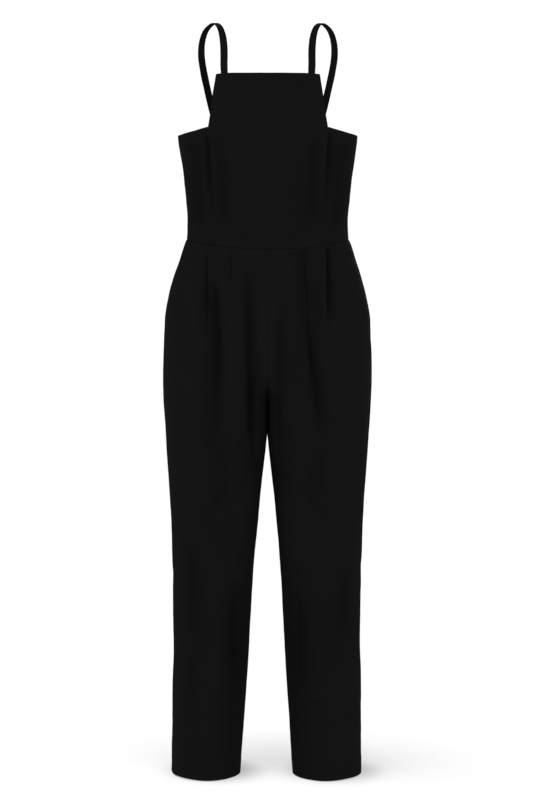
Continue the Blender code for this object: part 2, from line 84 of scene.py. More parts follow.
HEM_RISE, HEM_RISE_HIGH = 2.1, 120.0  # how much higher the hems' outer sides are, and how far up that is felt
HEM_MIDDLE, HEM_HALF = 107.0, 56.0  # where that rise starts across a leg, and how far out it is whole
HEM_TURN, TOP_TURN, BIB_TURN = 25.0, 20.0, 12.0  # how far hems, top edges and the bib's sides are turned in
TURN_THICK = 0.6  # what a turned edge adds to the cloth
DRAWN_REACH = 3.0  # how far in from a free edge the cloth is drawn in with it
STRAP_WIDTH, STRAP_THICK = 12.8, 2.0
PLEAT_RADIUS = 1.0  # of the cloth's middle round a pleat's folds where they are pressed at the waist
ZIP_END, ZIP_TAPE_THICK = -560.0, 0.8  # foot of the zip, and its tape
SLIDER_HIGH = 12.6  # from the top edge to the slider's foot, where the closed coil starts
CORE = 0.8  # each core cord of the zip's coil
GROOVE, GROOVE_REACH = 0.55, 1.5  # how deep a seam pulls the cloth in, and how far to each side
WAIST_GROOVE, WAIST_REACH = 1.1, 2.2  # the same for what the waist seam adds to that
STITCH_DEEP = 0.25  # how much deeper than the groove its stitches lie
CREASE_SHADE_DEPTH = 9.0  # depth of a crease at which its painted shade is full
SEAM_ANGLE = 0.45  # radians beside the side and inner seams in which creases that cross them take over
LEG_ANGLE = 0.55  # radians from an inner seam in which the legs' cloth is close to each other's
LEG_GAP, GAP_END = 0.12, -741.5  # how near a leg's inner side lies to the middle, and how far down
WANDER, WANDER_END = 0.55, -742.0  # how far the line between the legs wanders, and how far down
CALM_END = -900.0  # how far down the legs' inner sides are calmer than the rest
GAP_FADE, WANDER_FADE, CALM_FADE = 28.0, 20.0, 130.0  # over what heights above those ends they die out
EDGE = np.array([0.0, 0.3, 0.7, 1.2, 1.9])  # the first points in from an edge, where the cloth rounds or dips

# rows and columns of each panel's points, and the columns between the pleats of a trouser front
BIB_GRID, SIDE_GRID, BACK_GRID, TROUSER_GRID = (112, 83), (71, 31), (65, 65), (322, 88)
PLEATED_COLUMNS = (20, 14, 18)
# finer rows at the crotch: from, to and spacing
CROTCH_ROWS = ((-642.0, -652.0, 1.5), (-652.0, -659.5, 0.3), (-659.5, -664.0, 1.0))

# how far each kind of edge is sewn, how far in it is turned, and how much it puckers
SEWN, SEWN_LEG, ZIPPED = (1.0, 0.0, 0.10), (1.0, 0.0, 0.12), (0.0, 0.0, 0.30)
TOP_EDGE, HEMMED = (0.0, TOP_TURN, 0.06), (0.0, HEM_TURN, 0.04)

# one side of the body: outermost x, depth forward and depth back of the side seam, and the section's power
SECTIONS = """
      z outer front  back power
    -87 158.0  97.0 101.0  2.30
   -150 160.0 113.5 105.0  2.30
   -180 160.0 121.5 106.0  2.30
   -199 158.7 125.8 106.0  2.28
   -238 153.6 128.3 103.0  2.25
   -273 148.9 124.5  97.5  2.22
   -308 145.1 115.0  90.5  2.20
   -344 142.5 104.5  84.0  2.20
   -362 142.4 100.0  81.5  2.20
   -378 143.6  97.0  80.5  2.20
   -386 147.0  96.3  81.3  2.20
   -415 156.8  99.0  90.0  2.22
   -450 168.2 104.5 106.0  2.26
   -486 177.5 109.0 119.5  2.30
   -522 183.3 112.0 130.0  2.33
   -575 185.8 114.6 138.5  2.36
   -629 186.4 114.5 139.5  2.38
   -665 185.6 112.0 136.0  2.38
   -701 183.9 107.5 129.0  2.36
   -774 179.9  98.0 113.5  2.32
   -846 175.0  90.0  99.5  2.28
   -919 171.2  83.5  89.0  2.24
   -992 169.4  78.5  80.5  2.20
  -1065 168.7  75.0  74.5  2.16
  -1212 171.0  70.0  69.5  2.08
  -1345 173.0  68.5  69.0  2.04
"""
# that side's section again: where its middle is, and its innermost x. Above the crotch that is past the
# body's middle, and the section is cut there by the centre seam
INSEAM = """
      z middle  inner
   -520    0.0 -182.2
   -545    7.0 -168.0
   -570   26.0 -128.0
   -590   44.0  -84.0
   -605   56.0  -52.0
   -620   66.5  -28.0
   -632   73.0  -14.5
   -642   77.3   -6.8
   -651   80.4   -2.2
   -660   83.1    0.2
   -672   86.0    0.3
   -686   88.5    0.4
   -700   90.1    0.5
   -737   91.8    1.4
   -774   92.4    5.1
   -810   93.2    9.3
   -846   94.0   13.5
   -919   95.5   20.0
   -992   97.3   25.4
  -1065   99.0   29.2
  -1138  101.4   32.9
  -1176  102.9   35.2
  -1212  104.6   37.7
  -1250  106.3   40.2
  -1286  107.8   42.9
  -1322  109.1   45.9
  -1345  110.0   47.8
"""
# where the legs' inner sides are squarer than the rest: by how much, and the heights between which it comes
# and goes
SQUARER = """
  more   from   full  fading   gone
  0.85   -560   -640   -920   -1010
  1.6    -585   -645   -700    -775
  1.1    -790   -860   -940   -1010
"""
# seam between the bib and the side panels, and above BIB_CORNER the bib's own free side
PRINCESS = """
     z     x
   -87  90.1
  -103  92.5
  -116  94.7
  -158 100.6
  -180 104.0
  -192 106.2
  -215 106.0
  -249 103.2
  -293  99.8
  -352  95.2
  -392  93.0
"""
# pleats in the trouser fronts. The fold's edge faces the side seam. side is -1 for the wearer's right;
# x_top and x_foot are where the edge is at the waist and where it fades, length below it; lap is how far the
# cloth doubles back at the waist; lift is how high the cloth stands up beside the edge; gape is the radius of
# the fold where it has opened out, and late is higher the further down it stays pressed
PLEATS = """
  side x_top x_foot length lap lift gape late
    -1 103.5  106.0    186 9.0  1.6  4.5  1.5
    -1  63.0   59.0     96 6.5  0.7  2.2  1.8
     1 103.0  106.0    156 9.5  1.7  5.2  0.9
     1  60.0   73.0    176 7.5  1.2  3.2  1.6
"""
# strap from the bib over the shoulder to the back: middle line, and the way its outer face looks
STRAP = """
      x     y      z    nx    ny   nz
   76.2 -86.5  -72.0 -0.14 -0.98 0.14
   76.1 -80.0  -56.0 -0.14 -0.94 0.30
   76.8 -70.0  -40.0 -0.16 -0.84 0.52
   79.2 -55.0  -22.0 -0.20 -0.66 0.72
   83.8 -36.0   -8.2 -0.22 -0.36 0.90
   89.2 -17.0   -1.0 -0.12 -0.14 0.98
   94.8   0.0    1.0  0.05  0.00 1.00
  101.4  14.0   -2.0  0.20  0.18 0.96
  108.6  26.5   -8.6  0.30  0.38 0.87
  114.4  39.0  -19.5  0.38  0.56 0.74
  118.2  51.0  -35.0  0.42  0.70 0.58
  119.0  62.0  -54.0  0.38  0.83 0.41
  115.6  73.0  -80.0  0.29  0.92 0.27
  109.0  81.5 -112.0  0.22  0.96 0.16
  101.8  86.0 -143.0  0.20  0.97 0.10
"""
# its ends inside the bib and inside the back: x, z and the gap to the cloth
STRAP_FRONT_END = ((76.6, -113.0, 1.2), (76.6, -99.0, 1.2), (76.6, -86.0, 1.2))
STRAP_BACK_END = ((95.8, -172.0, 0.9), (92.3, -188.0, 0.9), (88.8, -212.0, 0.9))

# ---------------------------------------------------------------- creases
# Each crease bends through three places (u0 v0, u1 v1, u2 v2). w0 and w1 are its half width at its two
# ends, rise is its height (troughs are below 0), and sharp is 2 for a soft round one and less where its
# middle is pinched. in and out are the shares of its length over which it rises and dies away, and IN and
# OUT where a row ends without them. On the front and the back u is x, from the wearer's right to the left,
# and v is z.
IN, OUT = 0.45, 0.55
FRONT_CREASES = """
    u0    v0   u1    v1   u2    v2 w0  w1  rise sharp  in out
   108  -180  106  -245   98  -342  3   5  -9.0   1.3 .22  .5
  -108  -182 -106  -248  -96  -352  3   5  -9.0   1.3 .25  .5
   -97  -222  -96  -258  -92  -304  5   6   1.2   2.0
    94  -210   94  -240   90  -284  6   6   0.9   2.0
    80  -186   82  -268   76  -374 12  15  -5.0   1.5 .25 .22
   -84  -178  -82  -262  -75  -376 11  15  -4.4   1.5 .25 .22
    52  -215   50  -262   44  -330 16  22  -1.0   2.0
   -46  -190  -40  -250  -44  -345 18  24  -0.9   2.0
    15  -126   16  -142   14  -162  3   4  -0.8   1.6
    30  -114   60  -108   92  -116  8   7  -1.8   1.6
   -84  -122  -50  -120   -8  -128  7   8  -1.2   1.6
   -64  -136  -40  -150  -34  -176  9  11   0.7   2.0
    40  -140   52  -156   50  -190  9  11   0.7   2.0
    84  -130   92  -160   98  -196  7   7  -1.2   1.7
   -86  -134  -94  -164  -99  -192  7   7  -1.0   1.7
   127  -198  125  -280  118  -374 17  19  -6.0   1.7 .18 .22
  -129  -198 -125  -280 -117  -374 17  19  -6.2   1.7 .16 .22
   142  -300  126  -338  108  -372  8   6  -1.2   1.7
  -140  -310 -128  -342 -110  -370  8   6  -1.1   1.7
    72  -350   48  -370   14  -380  6   7  -1.0   1.7
   -72  -348  -48  -368  -20  -382  7   6  -0.9   1.7
  -101  -424  -90  -565  -98  -790  8  14 -11.5   1.2 .27 .45
   -37  -402  -33  -560  -18  -775  5  11 -10.5   1.2  .4  .3
   -62  -470  -58  -560  -56  -650  9  12   1.6   2.0
   -14  -470  -12  -560   -8  -640  9   8   1.2   2.0
    70  -496   82  -615  100  -738  6  10 -10.5   1.2  .3 .35
    84  -428   86  -490   90  -570 12  13  -4.0   1.6  .3  .4
    24  -446   21  -590   16  -722  7  10  -6.0   1.3  .4 .45
    46  -440   56  -540   70  -640  9  12   1.8   2.0
    58  -390   60  -480   48  -690 13  13  -5.0   1.6 .16  .4
   106  -386  107  -455  109  -548  4 5.5  -8.0   1.3 .08 .35
  -107  -392 -107  -470 -109  -560  3   4  -3.0   1.3 .15  .5
    -4  -600   10  -618   26  -640  7   8   0.9   2.0
    94  -424   95  -470   97  -530  5   7   1.0   2.0
   -95  -410  -95  -470  -96  -545  5   7   1.0   2.0
   112  -420  118  -480  112  -560  8  10  -1.8   1.7
  -116  -420 -118  -500 -112  -590  9  12  -1.6   1.8
   150  -430  152  -510  146  -600 12  16  -1.4   2.0
  -148  -440 -152  -530 -146  -630 12  16  -1.4   2.0
    -5  -652  -16  -634  -34  -600  5   8  -1.6   1.5
     5  -650   14  -628   30  -604  5   8  -1.4   1.5
   -28  -606  -24  -684  -16  -810  5   8  -6.5   1.2  .4 .35
    15  -626   15  -690   22  -780  5   8  -5.0   1.3  .4  .4
   -18  -676  -36  -720  -58  -784  8  13  -3.2   1.5
    16  -680   34  -716   56  -768  8  12  -3.4   1.5
    14  -742   32  -806   60  -868  9  15  -2.2   1.8
   -14  -734  -30  -780  -42  -850  9  14  -2.0   1.8
  -126  -690 -120  -760 -128  -850 14  18   1.4   1.8
   128  -700  118  -790  124  -880 14  18   1.0   1.8
   -96  -690  -84  -775  -82  -866 20  23  -3.0   1.8  .4  .4
    95  -716   91  -785   92  -856 12  12  -3.0   1.7  .4  .4
   -56  -768  -80  -800  -98  -826 10  12   1.4   2.0
   -62  -792  -88  -836 -116  -880  7  10  -3.4   1.4
   -74  -842  -90  -880 -100  -930 12  14   1.2   2.0
   -92  -838  -86  -900  -84  -966 22  22  -2.4   1.9  .4  .5
    46  -806   80  -842  114  -884  6   8  -3.4   1.4
    72  -860   96  -890  108  -940 12  14   1.4   2.0
  -148  -880 -130 -1010 -128 -1200 13  16  -5.0   1.6 .35  .5
  -112  -930 -104 -1000 -100 -1090 12  14   1.4   2.0
   -58  -968  -54 -1092  -52 -1228 14  17  -8.2   1.4  .4 .45
   -64 -1150  -60 -1236  -66 -1330 12  15  -3.2   1.6 .45  .4
   -84 -1060  -90 -1130  -84 -1210 12  13   1.2   2.0
  -128 -1100 -136 -1180 -131 -1290  9  11  -2.8   1.6
  -112 -1178  -84 -1196  -54 -1200  7   9  -1.6   1.6
  -100 -1200 -104 -1260  -98 -1325 12  12   1.0   2.0
    57  -992   53 -1100   60 -1224 14  18  -7.2   1.4  .4 .45
    66 -1150   70 -1226   66 -1300  9  12  -1.2   1.7
   108  -912  109  -968  106 -1040 12  14   1.8   2.0
    90 -1030   86 -1090   92 -1160 12  12   1.2   2.0
   142  -946  136 -1040  128 -1186 13  16  -4.0   1.6 .35  .5
   120 -1090  116 -1170  120 -1250 12  14   1.2   2.0
    70 -1194   90 -1206  110 -1214  5   6  -2.0   1.5
    98 -1215   92 -1270  100 -1330 11  11  -1.8   1.7
   -34  -900  -44  -946  -70  -978  7  10  -2.2   1.6
    36  -930   56  -968   84  -990  7  10  -2.4   1.6
"""
BACK_CREASES = """
    u0    v0   u1    v1   u2    v2 w0 w1 rise sharp
   -60  -694  -88  -672 -122  -634 11 15 -4.4   1.7
    58  -698   88  -676  122  -640 11 15 -4.4   1.7
   -24  -672  -46  -700  -80  -716  8 13 -2.2   1.7
    24  -678   44  -704   74  -724  8 13 -2.0   1.7
   -10  -646  -34  -620  -70  -590  7 12 -1.5   1.8
    10  -642   30  -612   62  -580  7 12 -1.7   1.8
   -64  -383  -62  -430  -60  -478  3  5 -0.9   1.5
    64  -383   62  -430   60  -478  3  5 -0.9   1.5
   -86  -440  -92  -500  -84  -580 14 20 -1.1   2.0
    88  -450   96  -510   92  -590 14 20 -1.0   2.0
   -30  -440  -34  -500  -28  -570 12 14  0.8   2.0
    34  -436   30  -510   36  -560 12 14  0.8   2.0
  -132  -226 -108  -276  -64  -318 11 14 -1.3   1.8
   130  -222  104  -268   66  -322 11 14 -1.4   1.8
  -118  -300  -92  -346  -70  -372  9  8 -1.0   1.8
   114  -308   94  -344   66  -370  9  8 -0.9   1.8
   -30  -330  -56  -352  -92  -362  8  9 -0.9   1.8
    32  -336   58  -356   88  -362  8  9 -0.8   1.8
   -40  -214  -46  -258  -42  -320 14 16 -0.7   2.0
    42  -210   44  -262   46  -318 14 16 -0.7   2.0
   -84  -745  -88  -830  -80  -930 13 17 -1.7   1.9
    80  -752   88  -836   84  -926 13 17 -1.8   1.9
  -124  -760 -132  -840 -124  -930 13 15 -1.3   2.0
   126  -770  130  -850  128  -940 13 15 -1.2   2.0
  -104  -740 -108  -810 -104  -900 14 14  1.2   2.0
   104  -744  108  -820  104  -900 14 14  1.2   2.0
   -52  -958  -88  -978 -128  -966  9 10 -2.4   1.6
    54  -962   90  -984  126  -974  9 10 -2.3   1.6
   -58  -996  -90 -1012 -122 -1004  8 10 -1.8   1.6
    60 -1000   92 -1018  122 -1012  8 10 -1.9   1.6
   -60  -928  -92  -940 -118  -928  8 10 -1.2   1.7
    62  -930   94  -944  116  -936  8 10 -1.1   1.7
   -80 -1024  -84 -1130  -72 -1240 14 17 -2.8   1.8
    84 -1028   82 -1136   74 -1236 14 17 -2.9   1.8
  -116 -1030 -126 -1130 -122 -1240 13 16 -1.5   1.9
   118 -1040  124 -1140  124 -1244 13 16 -1.4   1.9
  -102 -1060 -104 -1150 -100 -1250 13 14  1.3   2.0
   104 -1070  102 -1156  102 -1256 13 14  1.3   2.0
   -96 -1262  -92 -1300  -98 -1334 11 10 -1.3   1.8
    94 -1256   98 -1296   94 -1332 11 10 -1.2   1.8
"""
# Beside the side seams and the legs' inner seams u is y. panel is 1 and -1 for the outer sides of the
# wearer's left and right, and 2 and -2 for the inner sides of those legs
SIDE_CREASES = """
  panel  u0    v0  u1    v1  u2    v2 w0 w1 rise sharp
      1  34  -214  10  -262 -22  -300 11 14 -1.0   1.8
      1 -30  -300  -6  -340  20  -368  9  9 -0.8   1.8
      1  16  -400  26  -440  22  -490 11 15 -1.0   2.0
      1 -46  -470 -20  -540  30  -600 12 18 -1.5   1.8
      1  50  -560  16  -660 -10  -760 14 18 -1.9   1.8
      1  20  -780 -14  -850 -20  -930 12 16 -1.4   1.9
      1 -26  -930   2  -976  36  -992 10 12 -1.7   1.7
      1  34 -1010   4 -1090 -16 -1180 11 15 -1.8   1.8
      1 -12 -1190  10 -1260   6 -1325 11 12 -1.2   1.9
     -1  30  -210   6  -256 -24  -310 11 14 -1.1   1.8
     -1 -26  -306  -4  -344  22  -370  9  9 -0.7   1.8
     -1 -20  -402 -28  -446 -18  -500 11 15 -1.1   2.0
     -1  44  -480  14  -548 -32  -612 12 18 -1.4   1.8
     -1  46  -600   8  -690 -22  -790 14 18 -1.8   1.8
     -1  -8  -800  16  -870  12  -950 12 16 -1.4   1.9
     -1 -30  -950   0  -986  34 -1000 10 12 -1.6   1.7
     -1  26 -1026   0 -1110 -10 -1200 11 15 -1.9   1.8
     -1  14 -1210   0 -1270  -8 -1330 11 12 -1.1   1.9
      2 -28  -700  -4  -770   6  -850  9 13 -1.4   1.8
      2  22  -860   2  -930  -8 -1010 10 13 -1.3   1.8
      2 -16 -1020   6 -1110   4 -1200 10 13 -1.4   1.8
      2   8 -1210  -6 -1270  -2 -1330 10 11 -0.9   1.9
     -2 -24  -712   0  -780  10  -860  9 13 -1.3   1.8
     -2  20  -880  -4  -940 -10 -1020 10 13 -1.4   1.8
     -2  -8 -1040  10 -1120   2 -1210 10 13 -1.3   1.8
     -2  -6 -1220   8 -1276   2 -1330 10 11 -1.0   1.9
"""
# slow unevenness of hanging cloth: the length of each wave along x, y and z, where it starts, and its height
DRIFT = """
  along_x along_y along_z start height
       92     120     610   0.3   0.50
      -71      88     430   2.1   0.36
       47     -60     250   4.0   0.20
      -36     -41     170   1.2   0.12
       66     -95     -96   5.2   0.14
       27      33      74   3.3  0.055
      -23      29     -51   0.8  0.040
       19     -24     -33   2.7  0.025
"""


def table(text):
    """Rows of a table as dictionaries by column name."""
    head, *rows = [line.split() for line in text.strip().splitlines()]
    return [dict(zip(head, map(float, row))) for row in rows]


class Curve:
    """Smooth curve through one column of a table against another, with no overshoot between rows."""

    def __init__(self, text, x, y):
        rows = sorted((row[x], row[y]) for row in table(text))
        self.x, self.y = np.array(rows).T
        step = np.diff(self.x)
        slope = np.diff(self.y) / step
        self.slope = np.concatenate([slope[:1], np.zeros(len(slope) - 1), slope[-1:]])
        for i in range(1, len(slope)):
            if slope[i - 1] * slope[i] > 0:
                a, b = 2 * step[i] + step[i - 1], step[i] + 2 * step[i - 1]
                self.slope[i] = (a + b) / (a / slope[i - 1] + b / slope[i])

    def __call__(self, x):
        return blend(np.clip(x, self.x[0], self.x[-1]), self.x, self.y, self.slope)


def blend(x, known_x, known_y, slope):
    """Values at x on the smooth curve through known points with known slopes."""
    i = np.clip(np.searchsorted(known_x, x) - 1, 0, len(known_x) - 2)
    h = known_x[i + 1] - known_x[i]
    t = (x - known_x[i]) / h
    if known_y.ndim > 1:
        h, t = h[:, None], t[:, None]
    bend = h * t * (1 - t) * (slope[i] * (1 - t) - slope[i + 1] * t)
    return known_y[i] * (1 - ease(t)) + known_y[i + 1] * ease(t) + bend


def ease(t):
    """Smooth step from 0 to 1."""
    t = np.clip(t, 0.0, 1.0)
    return t * t * (3 - 2 * t)


def unit(v):
    return v / np.maximum(np.linalg.norm(v, axis=-1, keepdims=True), 1e-12)


def sided(p, side):
    """Points of the wearer's left side (side 1) mirrored where side is -1."""
    return p * np.array([side, 1, 1])


def reach(p, axis=0):
    """Distance of each point from the first along an axis, over the points between."""
    return np.insert(np.cumsum(np.linalg.norm(np.diff(p, axis=axis), axis=-1), axis), 0, 0.0, axis)


OUTER, FRONT, BACK, POWER = (Curve(SECTIONS, "z", name) for name in ("outer", "front", "back", "power"))
MIDDLE, INNER = (Curve(INSEAM, "z", name) for name in ("middle", "inner"))
PRINCESS_X = Curve(PRINCESS, "z", "x")
SQUARER_ROWS, DRIFT_ROWS, PLEAT_ROWS = table(SQUARER), table(DRIFT), table(PLEATS)
CREASES = {False: table(FRONT_CREASES), True: table(BACK_CREASES)}
SIDES = table(SIDE_CREASES)


# ---------------------------------------------------------------- the surface that all panels are cut from
def section(z):
    """Middle, width inward and outward of it, depth forward and back, and powers inward and outward of one
    side's section."""
    outer, power = OUTER(z), POWER(z)
    body = z > HIP
    middle = np.where(body, 0.0, MIDDLE(z))
    square = power
    for row in SQUARER_ROWS:
        coming = ease((row["from"] - z) / (row["from"] - row["full"]))
        square = square + row["more"] * coming * ease((z - row["gone"]) / (row["fading"] - row["gone"]))
    return middle, middle - np.where(body, -outer, INNER(z)), outer - middle, FRONT(z), BACK(z), square, power


def place(a, z, back):
    """Point of the surface, at angle a from the front or back of the section round to the side seam."""
    middle, inward, outward, front, rear, square, power = section(z)
    s = np.sin(a)
    n = np.where(s < 0, square, power)
    x = middle + np.where(s < 0, inward, outward) * np.sign(s) * np.abs(s) ** (2 / n)
    y = np.where(back, rear, -front) * np.abs(np.cos(a)) ** (2 / n)
    return np.stack(np.broadcast_arrays(x, y, z), -1)


def facing(p, flat=False, level=False):
    """Unit normal of the surface at p. It stays in the plane of the middle seam where flat is true, and in
    that of the waist seam where level is true, so that the pieces on both sides of a seam have one edge."""

    def ring(x, y, z):
        middle, inward, outward, front, rear, square, power = section(z)
        n = np.where(x < middle, square, power)
        across = np.abs((x - middle) / np.where(x < middle, inward, outward))
        return across**n + np.abs(y / np.where(y < 0, front, rear)) ** n

    normal = []
    for axis, step in enumerate((0.02, 0.02, 0.6)):
        shift = step * np.eye(3)[axis]
        ahead, behind = (ring(*np.moveaxis(p + way, -1, 0)) for way in (shift, -shift))
        normal.append((ahead - behind) / (2 * step))
    normal = np.stack(normal, -1)
    normal[..., 0] = np.where(flat, 0.0, normal[..., 0])
    normal[..., 2] = np.where(level, 0.0, normal[..., 2])
    return unit(normal)


def angle_at(x, z):
    """Angle at which the section passes x."""
    middle, inward, outward, _, _, square, power = section(z)
    n = np.where(x < middle, square, power)
    t = np.clip((x - middle) / np.where(x < middle, inward, outward), -1.0, 1.0)
    return np.arcsin(np.sign(t) * np.abs(t) ** (n / 2))


def waist_dip(x, z):
    """How far below its level a front row lies, which follows the waist seam and dies out away from it."""
    return WAIST_DIP * np.clip(1 - (x / DIP_HALF) ** 2, 0, 1) * (1 - ease(np.abs(z - WAIST_SIDE) / DIP_REACH))


def hem_rise(x, z):
    """How far a point is raised with the hem's outer side, which dies out up the leg."""
    return HEM_RISE * ease((x - HEM_MIDDLE) / HEM_HALF) * ease((HEM + HEM_RISE_HIGH - z) / HEM_RISE_HIGH)


def walk(z, back, first=None):
    """Angles along one side's section, from the angle first or its middle or inner edge to the side seam,
    and the distance to each."""
    a = np.linspace(angle_at(JOIN, z) if first is None else first, math.pi / 2, 900)
    return a, reach(place(a, z, back))


# ---------------------------------------------------------------- creases and drift
def relief(rows, u, v):
    """Height of the creases at places u across and v up."""
    height = np.zeros(u.shape)
    pieces = 12  # straight pieces that stand for each crease's bend
    t = np.linspace(0, 1, pieces + 1)[:, None]
    for c in rows:
        far = 4.5 * max(c["w0"], c["w1"])  # a crease isn't felt beyond this
        us, vs = ([c[name + k] for k in "012"] for name in "uv")
        near = (u > min(us) - far) & (u < max(us) + far) & (v > min(vs) - far) & (v < max(vs) + far)
        if not near.any():
            continue
        here = np.stack([u[near], v[near]], -1)
        top, middle, foot = np.array([us, vs]).T
        path = top * (1 - t) ** 2 + 2 * (2 * middle - (top + foot) / 2) * t * (1 - t) + foot * t**2
        away, along, hand = np.full(len(here), 1e9), np.zeros(len(here)), np.zeros(len(here))
        for k, (start, end) in enumerate(zip(path, path[1:])):
            step = end - start
            share = np.clip((here - start) @ step / (step @ step), 0, 1)
            off = here - start - share[:, None] * step
            gap = np.linalg.norm(off, axis=1)
            nearer = gap < away
            beside = (off[:, 0] * step[1] - off[:, 1] * step[0]) / np.linalg.norm(step)
            along = np.where(nearer, (k + share) / pieces, along)
            hand = np.where(nearer, np.clip(beside / 4, -1, 1), hand)  # -1 on one wall and 1 on the other
            away = np.minimum(gap, away)
        lean = 0.38 * math.sin(7.3 * c["u0"] + 3.1 * c["v0"])  # one wall of each crease is steeper
        width = (c["w0"] + (c["w1"] - c["w0"]) * along) * (1 + lean * hand)
        fade = ease(along / c.get("in", IN)) * ease((1 - along) / c.get("out", OUT))
        height[near] += c["rise"] * fade * np.exp(-(((away / width) ** 2 + 0.01) ** (c["sharp"] / 2)))
    return height


def drift(p):
    """Slow unevenness of the cloth, the same on both sides of every seam."""
    x, y, z = np.moveaxis(p, -1, 0)
    # the waves bend, so that none runs straight
    bent = z + 34 * np.sin(x / 61 + z / 143) + 21 * np.sin(y / 37 - z / 89)
    x = x + 9 * np.sin(z / 71 + y / 55)
    total = 0.0
    for w in DRIFT_ROWS:
        turn = 2 * math.pi * (x / w["along_x"] + y / w["along_y"] + bent / w["along_z"]) + w["start"]
        total = total + w["height"] * np.sin(turn)
    return total


def rises(p, a, back, side):
    """Height of the cloth above the plain surface at p, on the wearer's left (side 1) or right (-1), and
    the creases' share of it. Near the side seams and inner seams the front's and back's creases give way to
    those that cross them."""
    _, y, z = np.moveaxis(p, -1, 0)
    middle = ease((math.pi / 2 - np.abs(a)) / SEAM_ANGLE)
    outer, inner = ([c for c in SIDES if c["panel"] == panel] for panel in (side, 2 * side))
    beside = np.where(a > 0, relief(outer, y, z), relief(inner, y, z))
    here = sided(p, side)
    folds = relief(CREASES[back], here[..., 0], z) * middle + beside * (1 - middle)
    # high between the legs the cloth of one lies against the other's along a line that wanders
    inside_leg = 1 - ease((math.pi / 2 + a) / LEG_ANGLE)
    touch = np.where(z < CROTCH, INNER(z) - LEG_GAP, 0.0) * ease((z - GAP_END) / GAP_FADE)
    wander = side * WANDER * np.sin(y / 5.5 + 0.6) * ease((z - WANDER_END) / WANDER_FADE)
    wander = wander * ease((CROTCH + 4 - z) / 8)
    calm = 1 - inside_leg * ease((z - CALM_END) / CALM_FADE)
    return (folds + drift(here)) * calm + (touch - wander) * inside_leg, folds


def stations(start, end, count):
    """Places from start to end: close together at both edges, and even between."""
    even = np.linspace(start + EDGE[-1], end - EDGE[-1], count + 1)[1:-1]
    return np.concatenate([start + EDGE, even, end - EDGE[::-1]])


# ---------------------------------------------------------------- cloth walls
SHEETS = {}  # flat width, length and area of each panel, in metres and square metres


def shown(name, data):
    """Object in the scene."""
    obj = bpy.data.objects.new(name, data)
    bpy.context.scene.collection.objects.link(obj)
    return obj


def panel(name, verts, faces, uv, crushed):
    """Mesh object from points in mm, their places on the flat cut, and how much painted shade the creases put
    there."""
    mesh = bpy.data.meshes.new(name)
    mesh.from_pydata((verts * 0.001).tolist(), [], faces)
    layer = mesh.uv_layers.new(name="cut")
    corner = np.zeros(len(mesh.loops), np.int32)
    mesh.loops.foreach_get("vertex_index", corner)
    layer.uv.foreach_set("vector", (uv * 0.001)[corner].astype(np.float32).ravel())
    # the creases' painted shade, which the cloth's material darkens its colour by
    mesh.attributes.new("crushed", "FLOAT", "POINT").data.foreach_set("value", crushed.astype(np.float32))
    mesh.shade_smooth()
    return shown(name, mesh)


def border(grid):
    """A grid's values round its edge: along the top, down the end, back along the foot and up the start."""
    return np.concatenate([grid[0, :-1], grid[:-1, -1], grid[-1, :0:-1], grid[:0:-1, 0]])


def edged(height, away, along, edges, at_waist):
    """Height of the cloth with its seams' grooves and puckers, and what turned edges add to its thickness.
    away and along are the distance in from each edge and the place along it."""
    extra = np.zeros(height.shape)
    for d, t, (sewn, turned, pucker), waist in zip(away, along, edges, at_waist):
        height = height - sewn * GROOVE * np.clip(1 - d / GROOVE_REACH, 0, 1) ** 2
        if waist:
            height = height - WAIST_GROOVE * np.clip(1 - d / WAIST_REACH, 0, 1) ** 2
        # puckers: two uneven waves along the edge, which die out into the panel
        wave = np.sin(t / 3.1 + 1.7 * np.sin(t / 19)) * 0.35 + np.sin(t / 5.3 + 2.3 * np.sin(t / 41))
        height = height + pucker * wave * np.exp(-d / 9) * (1 - np.exp(-d / 2.5))
        if turned:
            extra = np.maximum(extra, TURN_THICK * (1 - sewn) * (1 - ease((d - turned) / 1.6)))
    return height, extra


def drawn_in(line, outer, inner, away, edges):
    """Both faces with their free edges drawn in, so that the rounding ends where the edge does, and how far
    that rounding bulges."""
    half = np.linalg.norm(outer - inner, axis=-1, keepdims=True) / 2
    bulge = np.zeros_like(line)
    first, second, last, next_last = np.s_[:1], np.s_[1:2], np.s_[-1:], np.s_[-2:-1]
    every = np.s_[:]
    beside = (
        ((every, first), (every, second)),
        ((every, last), (every, next_last)),
        ((first,), (second,)),
        ((last,), (next_last,)),
    )
    for d, (edge, next_in), (sewn, _, _) in zip(away, beside, edges):
        free = np.broadcast_to(1.0 - np.asarray(sewn, float), half.shape[:2])[..., None]
        way = unit(line[edge] - line[next_in])
        pull = way * half * free * np.clip(1 - d / DRAWN_REACH, 0, 1)[..., None]
        outer, inner = outer - pull, inner - pull
        bulge[edge] += way * half[edge] * free[edge]
    return outer, inner, bulge


def flat_cut(name, line):
    """Places of a panel's points on its flat cut, whose size is noted."""
    width, drop = reach(line, 1), reach(line, 0)
    area = np.linalg.norm(np.cross(np.diff(line, axis=1)[:-1], np.diff(line, axis=0)[:, :-1]), axis=2).sum()
    SHEETS[name] = (width[:, -1].max() / 1000, drop[-1].max() / 1000, area / 1e6)
    return np.stack([width - width[:, -1:] / 2, line[..., 2]], -1)


